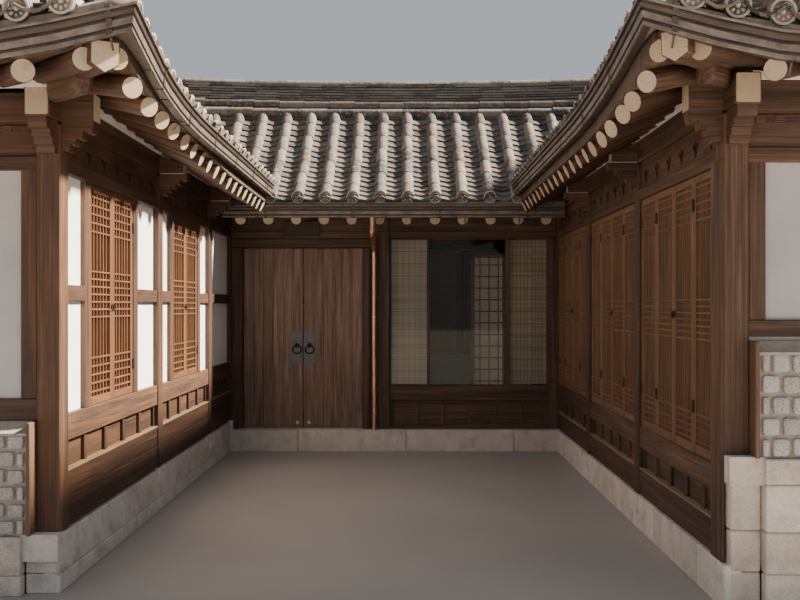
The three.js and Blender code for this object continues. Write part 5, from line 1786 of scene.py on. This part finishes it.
def ridge_stack(heap, path, width, height, flat_count, tile_run=0.26):
    """Courses of tiles along a path of places on the roof, from its bed to the height."""
    path = [np.asarray(p, float) for p in path]
    lengths = np.cumsum([0] + [np.linalg.norm(b - a) for a, b in zip(path, path[1:])])
    total = lengths[-1]

    def along(s):
        return np.array([np.interp(s, lengths, [p[k] for p in path]) for k in range(3)])

    def pieces(z0, z1, half, length, outline, paint, jitter):
        count = max(1, round(total / length))
        shift = heap.between(0, 0.5) * total / count
        joints = [shift + total * i / count for i in range(count)]
        edges = [0] + [s for s in joints if s > 0.05] + [total]
        for a, b in zip(edges, edges[1:]):
            if b - a < 0.03:
                continue
            drift = upward(heap.between(-jitter, jitter))
            section = outline(z0, z1, half + heap.between(-jitter, jitter))
            start, end = along(a + 0.0015) + drift, along(b - 0.0015) + drift
            member(heap, start, end, section, chamfer=0.003, paint=paint)

    half = width / 2
    for a, b in zip(path, path[1:]):
        member(heap, a, b, slab(-0.08, height - 0.05, half - 0.038), chamfer=0, paint=2)
    foot = min(0.075, height * 0.3)
    pieces(-0.07, foot * 0.55, half + 0.006, 0.24, roll, 2, 0.004)
    pieces(foot * 0.5, foot * 1.3, half, 0.22, roll, 0, 0.003)
    z = foot * 1.3 + 0.004
    pitch = (height - foot - z) / flat_count
    for i in range(flat_count):
        pieces(z + 0.005, z + pitch - 0.005, half - 0.004, tile_run, slab, 2, 0.0035)
        z += pitch
    pieces(height - foot, height, half * 0.66, 0.27, dome, 0, 0.003)


def wing_crest(y):
    t = (y - (gable_street - gable_overhang)) / (gable_back - gable_street + 2 * gable_overhang)
    return slope(wing_eave, wing_half) + 0.12 * (2 * t - 1) ** 2


for number, (name, wing) in enumerate(wings.items()):
    heap = Heap(121 + number)
    ends = (gable_street - gable_overhang, gable_back + gable_overhang)
    main = [(wing_x(wing, 0), y, wing_crest(y)) for y in np.linspace(*ends, 24)]
    ridge_stack(heap, main, 0.225, 0.325, 7)
    for y, way in zip(ends, (-1, 1)):
        centre = np.array([wing_x(wing, 0), y, wing_crest(y) + 0.25])
        flower_disc(heap, centre, (0, way, 0), (0, 0, 1), 0.09)
    for gable_y, way, eave_y in ((gable_street, -1, street_eave), (gable_back, 1, back_eave)):
        for flank in (-1, 1):
            falling, hip = [], []
            for t in np.linspace(0, 1, 9):
                distance = wing_half - 0.06 - t * (wing_half - gable_inset)
                y = gable_y + way * (gable_overhang - 0.11) * (1 - max(0, t * 1.4 - 0.4))
                x = wing_x(wing, flank * (wing_half - distance))
                falling.append((x, y, slope(wing_eave, distance) + 0.02))
            ridge_stack(heap, falling, 0.186, 0.186, 3)
            for t in np.linspace(0, 1, 9):
                distance = gable_inset * (1 - t) + 0.11 * t
                y = eave_y - way * distance
                x = wing_x(wing, flank * (wing_half - distance + side_bulge(wing, y) * t))
                hip.append((x, y, wing_top(wing, distance, y) + 0.01))
            ridge_stack(heap, hip, 0.176, 0.166, 2)
            tip, before = np.array(hip[-1]), np.array(hip[-2])
            flower_disc(heap, tip + upward(0.10), tip - before, (0, 0, 1), 0.075)
    heap.build(f"{name}_stacked_ridges", tile_materials, "tile", f"{name}_ridges")

heap = Heap(123)


def ridge_sag(x):
    return 0.06 * (x / 3.15) ** 2


ridge_top = gate_top(gate_ridge_y)
centre_line = [(x, gate_ridge_y, ridge_top + ridge_sag(x)) for x in np.linspace(-3.14, 3.14, 22)]
ridge_stack(heap, centre_line, 0.226, 0.386, 6, 0.30)
roll_length, roll_reach = 0.33, 2.9
for way in (-1, 1):
    for out, raised, radius in ((0.185, 0.075, 0.066), (0.130, 0.150, 0.058)):
        y = gate_ridge_y + way * out
        x = heap.between(0, 0.1) - roll_reach
        while x < roll_reach:
            z = gate_top(y) + raised + ridge_sag(x) + heap.between(-0.005, 0.005)
            member(heap, (x, y, z), (x + roll_length - 0.004, y, z), circle(radius, 14), chamfer=0)
            x += roll_length
heap.build("gate_range_stacked_ridge", tile_materials, "tile", "gate_range_ridge")

# Gutters and downpipe
# Folded metal gutters painted brown, moulded along their face, joined with straps about every
# metre and held by small painted hooks. A copper head and pipe lead down beside the gate.

gutter_paint = coat(
    "brown_gutter_paint", 0.42, ((8, 8, 30), 5, 0.6),
    [(0.3, (0.045, 0.034, 0.028)), (0.7, (0.095, 0.074, 0.062))], metallic=0.35,
)
# Paler paint for the outer faces of the moulding: painted highlight where the light catches them.
gutter_highlight = coat(
    "painted_gutter_highlight", 0.5, (9, 5, 0.65),
    [(0.35, (0.10, 0.080, 0.067)), (0.7, (0.24, 0.205, 0.175))], metallic=0.3,
)
gutter_materials = [gutter_paint, gutter_highlight, black_iron]

# Faces marked 1 take the paler paint, a painted highlight.
gutter_face = [
    (0.002, -0.138, 0), (0.046, -0.140, 1), (0.053, -0.134, 1), (0.054, -0.118, 0), (0.045, -0.114, 0),
    (0.045, -0.104, 0), (0.056, -0.100, 1), (0.061, -0.066, 0), (0.050, -0.062, 0), (0.050, -0.052, 0),
    (0.066, -0.048, 0), (0.071, -0.026, 0), (0.060, -0.022, 0), (0.062, -0.015, 0), (0.082, -0.013, 1),
    (0.085, 0.0, 1), (0.077, 0.0, 0), (0.054, -0.012, 0), (0.042, -0.05, 0), (0.037, -0.130, 0),
    (0.009, -0.130, 0), (0.009, -0.02, 0), (0.002, -0.02, 0),
]


def trough(heap, path, inside_of):
    """A gutter along the eave, with mitred corners, strap joints and hooks."""
    outline = [(o, h) for o, h, paint in gutter_face]
    runs = list(zip(path, path[1:]))
    sides = [level_normal(a, b, inside_of((a + b) / 2)) for a, b in runs]
    mitres = [(n + m) / (1 + np.dot(n, m)) for n, m in zip(sides, sides[1:])]

    def section(place, out, shape):
        return [place + out * o + upward(h) for o, h in shape]

    loft(heap, [section(p, n, outline) for p, n in zip(path, [sides[0], *mitres, sides[-1]])])
    count = len(outline)
    start = len(heap.paints) - len(runs) * count - 2
    for k in range(len(runs) * count):
        heap.paints[start + k] = gutter_face[k % count][2]

    lengths = np.cumsum([0] + [np.linalg.norm(b - a) for a, b in runs])
    collar = [(o + 0.004 if o > 0.03 else o, h - 0.004 if h < -0.13 else h) for o, h in outline]
    hook = [(0.006, -0.144), (0.050, -0.144), (0.050, -0.139), (0.006, -0.139)]
    stay = [(-0.03, -0.20), (0.008, -0.144), (0.012, -0.139), (-0.024, -0.196)]
    for spacing, half_length, shapes in ((1.0, 0.016, (collar,)), (0.62, 0.006, (hook, stay))):
        for s in np.arange(spacing / 2, lengths[-1], spacing):
            k = min(int(np.searchsorted(lengths, s)) - 1, len(runs) - 1)
            a, b = runs[k]
            centre = a + (b - a) * (s - lengths[k]) / (lengths[k + 1] - lengths[k])
            out = level_normal(a, b, inside_of(centre))
            for shape in shapes:
                ends = [centre + unit(b - a) * w for w in (-half_length, half_length)]
                loft(heap, [section(end, out, shape) for end in ends])


def eave_point(wing, flank, y):
    bulge = side_bulge(wing, y)
    return np.array([wing_x(wing, flank * (wing_half + bulge)), y, wing_top(wing, -bulge, y)])


def end_point(wing, offset, way):
    eave_y = street_eave if way < 0 else back_eave
    y = eave_y + way * end_bulge(wing, offset)
    reach = offset * (wing_half + wing["bulge"]) / wing_half
    from_tip = wing_half - abs(offset)
    drop = 0.03 * min(1.0, from_tip / 0.5)
    lift = wing["lift"] * fade(from_tip, 1.15) - drop
    return np.array([wing_x(wing, reach), y, slope(wing_eave, min(end_distance(y), 0)) + lift])


for number, (name, wing) in enumerate(wings.items()):
    heap = Heap(131 + number)
    court = -wing["side"]
    path = [eave_point(wing, court, y) for y in np.linspace(-0.72, street_eave, 18)[:-1]]
    path += [end_point(wing, court * o, -1) for o in np.linspace(wing_half, -wing_half, 13)]
    path += [eave_point(wing, -court, y) for y in np.linspace(street_eave, back_eave, 26)[1:-1]]
    path += [end_point(wing, court * o, 1) for o in np.linspace(-wing_half, wing_half, 13)]
    middle_x = wing_x(wing, 0)
    trough(heap, path, lambda p: np.array([middle_x, min(max(p[1], -5.2), 1.3), 0.0]))
    heap.build(f"{name}_moulded_gutter", gutter_materials, "gutter_metal", f"{name}_gutter")

for number, (name, y, reach) in enumerate((
    ("front", gate_eave_y, 1.963), ("back", gate_back_eave_y, 1.498),
)):
    heap = Heap(133 + number)
    path = [np.array([x, y, 2.90]) for x in (-reach, 0.0, reach)]
    trough(heap, path, lambda p: np.array([p[0], gate_ridge_y, 0.0]))
    gutter = f"gate_range_{name}_moulded_gutter"
    heap.build(gutter, gutter_materials, "gutter_metal", f"gate_range_{name}_gutter")

copper = coat(
    "aged_copper", 0.35, ((3, 14, 14), 5, 0.6),
    [(0.3, (0.42, 0.20, 0.12)), (0.7, (0.82, 0.50, 0.34))], metallic=0.9,
)
heap = Heap(135)
pipe_x = -0.235


def pipe(heap, stations):
    """A round pipe through stations of (y, z, radius)."""
    rings, grain, run = [], [], 0.0
    for i, (y, z, radius) in enumerate(stations):
        before, after = stations[max(i - 1, 0)], stations[min(i + 1, len(stations) - 1)]
        along = unit(np.array([0, after[0] - before[0], after[1] - before[1]]))
        over = unit(np.cross(along, (1, 0, 0)))
        run += math.hypot(y - before[0], z - before[1])
        ring = circle(radius, 20)
        rings.append([np.array([pipe_x + s, y, z]) + over * h for s, h in ring])
        grain.append([(run, s, h) for s, h in ring])
    loft(heap, rings, 0, None, grain)


pipe_y = -0.14
pipe(heap, [(-0.76, 2.7597, 0.038), (-0.76, 2.748, 0.038), (-0.76, 2.745, 0.035), (-0.76, 2.615, 0.035),
            (-0.76, 2.612, 0.038), (-0.76, 2.600, 0.038), (-0.758, 2.580, 0.031), (-0.74, 2.556, 0.030),
            (-0.70, 2.548, 0.030), (-0.20, 2.444, 0.030), (-0.16, 2.425, 0.030), (pipe_y, 2.38, 0.030),
            (pipe_y, 1.62, 0.030), (pipe_y, 0.34, 0.030), (-0.145, 0.30, 0.030), (-0.155, 0.262, 0.030)])
for z in (2.30, 1.61, 0.92, 0.42):
    pipe(heap, [(pipe_y, z, 0.0335), (pipe_y, z + 0.022, 0.0335)])
for z in (2.05, 0.75):
    pipe(heap, [(pipe_y, z, 0.034), (pipe_y, z + 0.018, 0.034)])
    block(heap, (pipe_x - 0.012, pipe_y, z + 0.002), (pipe_x + 0.012, -0.018, z + 0.016), 0.001)
heap.build("copper_head_and_pipe", [copper], "copper", "downpipe")

# Gables
# Boarded gables close the upper ends of the wings under the overhanging verge, with a broad
# board along each slope and a purlin between them.

gable_board = boarded(
    "gable_boards", 0.75, ((30, 30, 2), 5, 0.6), ((0.09, 0.048, 0.028), (0.20, 0.115, 0.066)),
    "X", 1.1, 0.05, (0.015, 0.01, 0.008),
)


def gable_height(distance):
    """The underside of the roof deck over a gable, at a distance in from the side eave."""
    return slope(wing_eave, distance) - deck_thickness - 0.006


reach = wing_half - gable_inset - 0.03
outline = [(s * reach, gable_height(wing_half - abs(s) * reach)) for s in np.linspace(-1, 1, 13)]
foot = outline[0][1] - 0.06
wall = [(reach, foot), (-reach, foot), *outline]
verge = ((0.0, -0.16), (0.03, -0.16), (0.03, 0), (0.0, 0))
for number, (name, wing) in enumerate(wings.items()):
    heap = Heap(141 + number)
    for y, way in ((gable_street + 0.0003, 1), (gable_back - 0.0003, -1)):
        loft(heap, [[(wing_x(wing, s), y + way * d, z) for s, z in wall] for d in (0.012, 0.06)])
        for ends in zip(outline, outline[1:]):
            rings = [[(wing_x(wing, s), y + way * d, z + h) for d, h in verge] for s, z in ends]
            loft(heap, rings, 1)
    top = gable_height(wing_half - 0.075)
    low = (wing_x(wing, -0.075), gable_street + 0.01, top - 0.18)
    block(heap, low, (wing_x(wing, 0.075), gable_back - 0.01, top), 0.01, 1)
    heap.build(f"{name}_boarded_gables", [gable_board, timber], "timber", f"{name}_gables_and_ridge_beam")
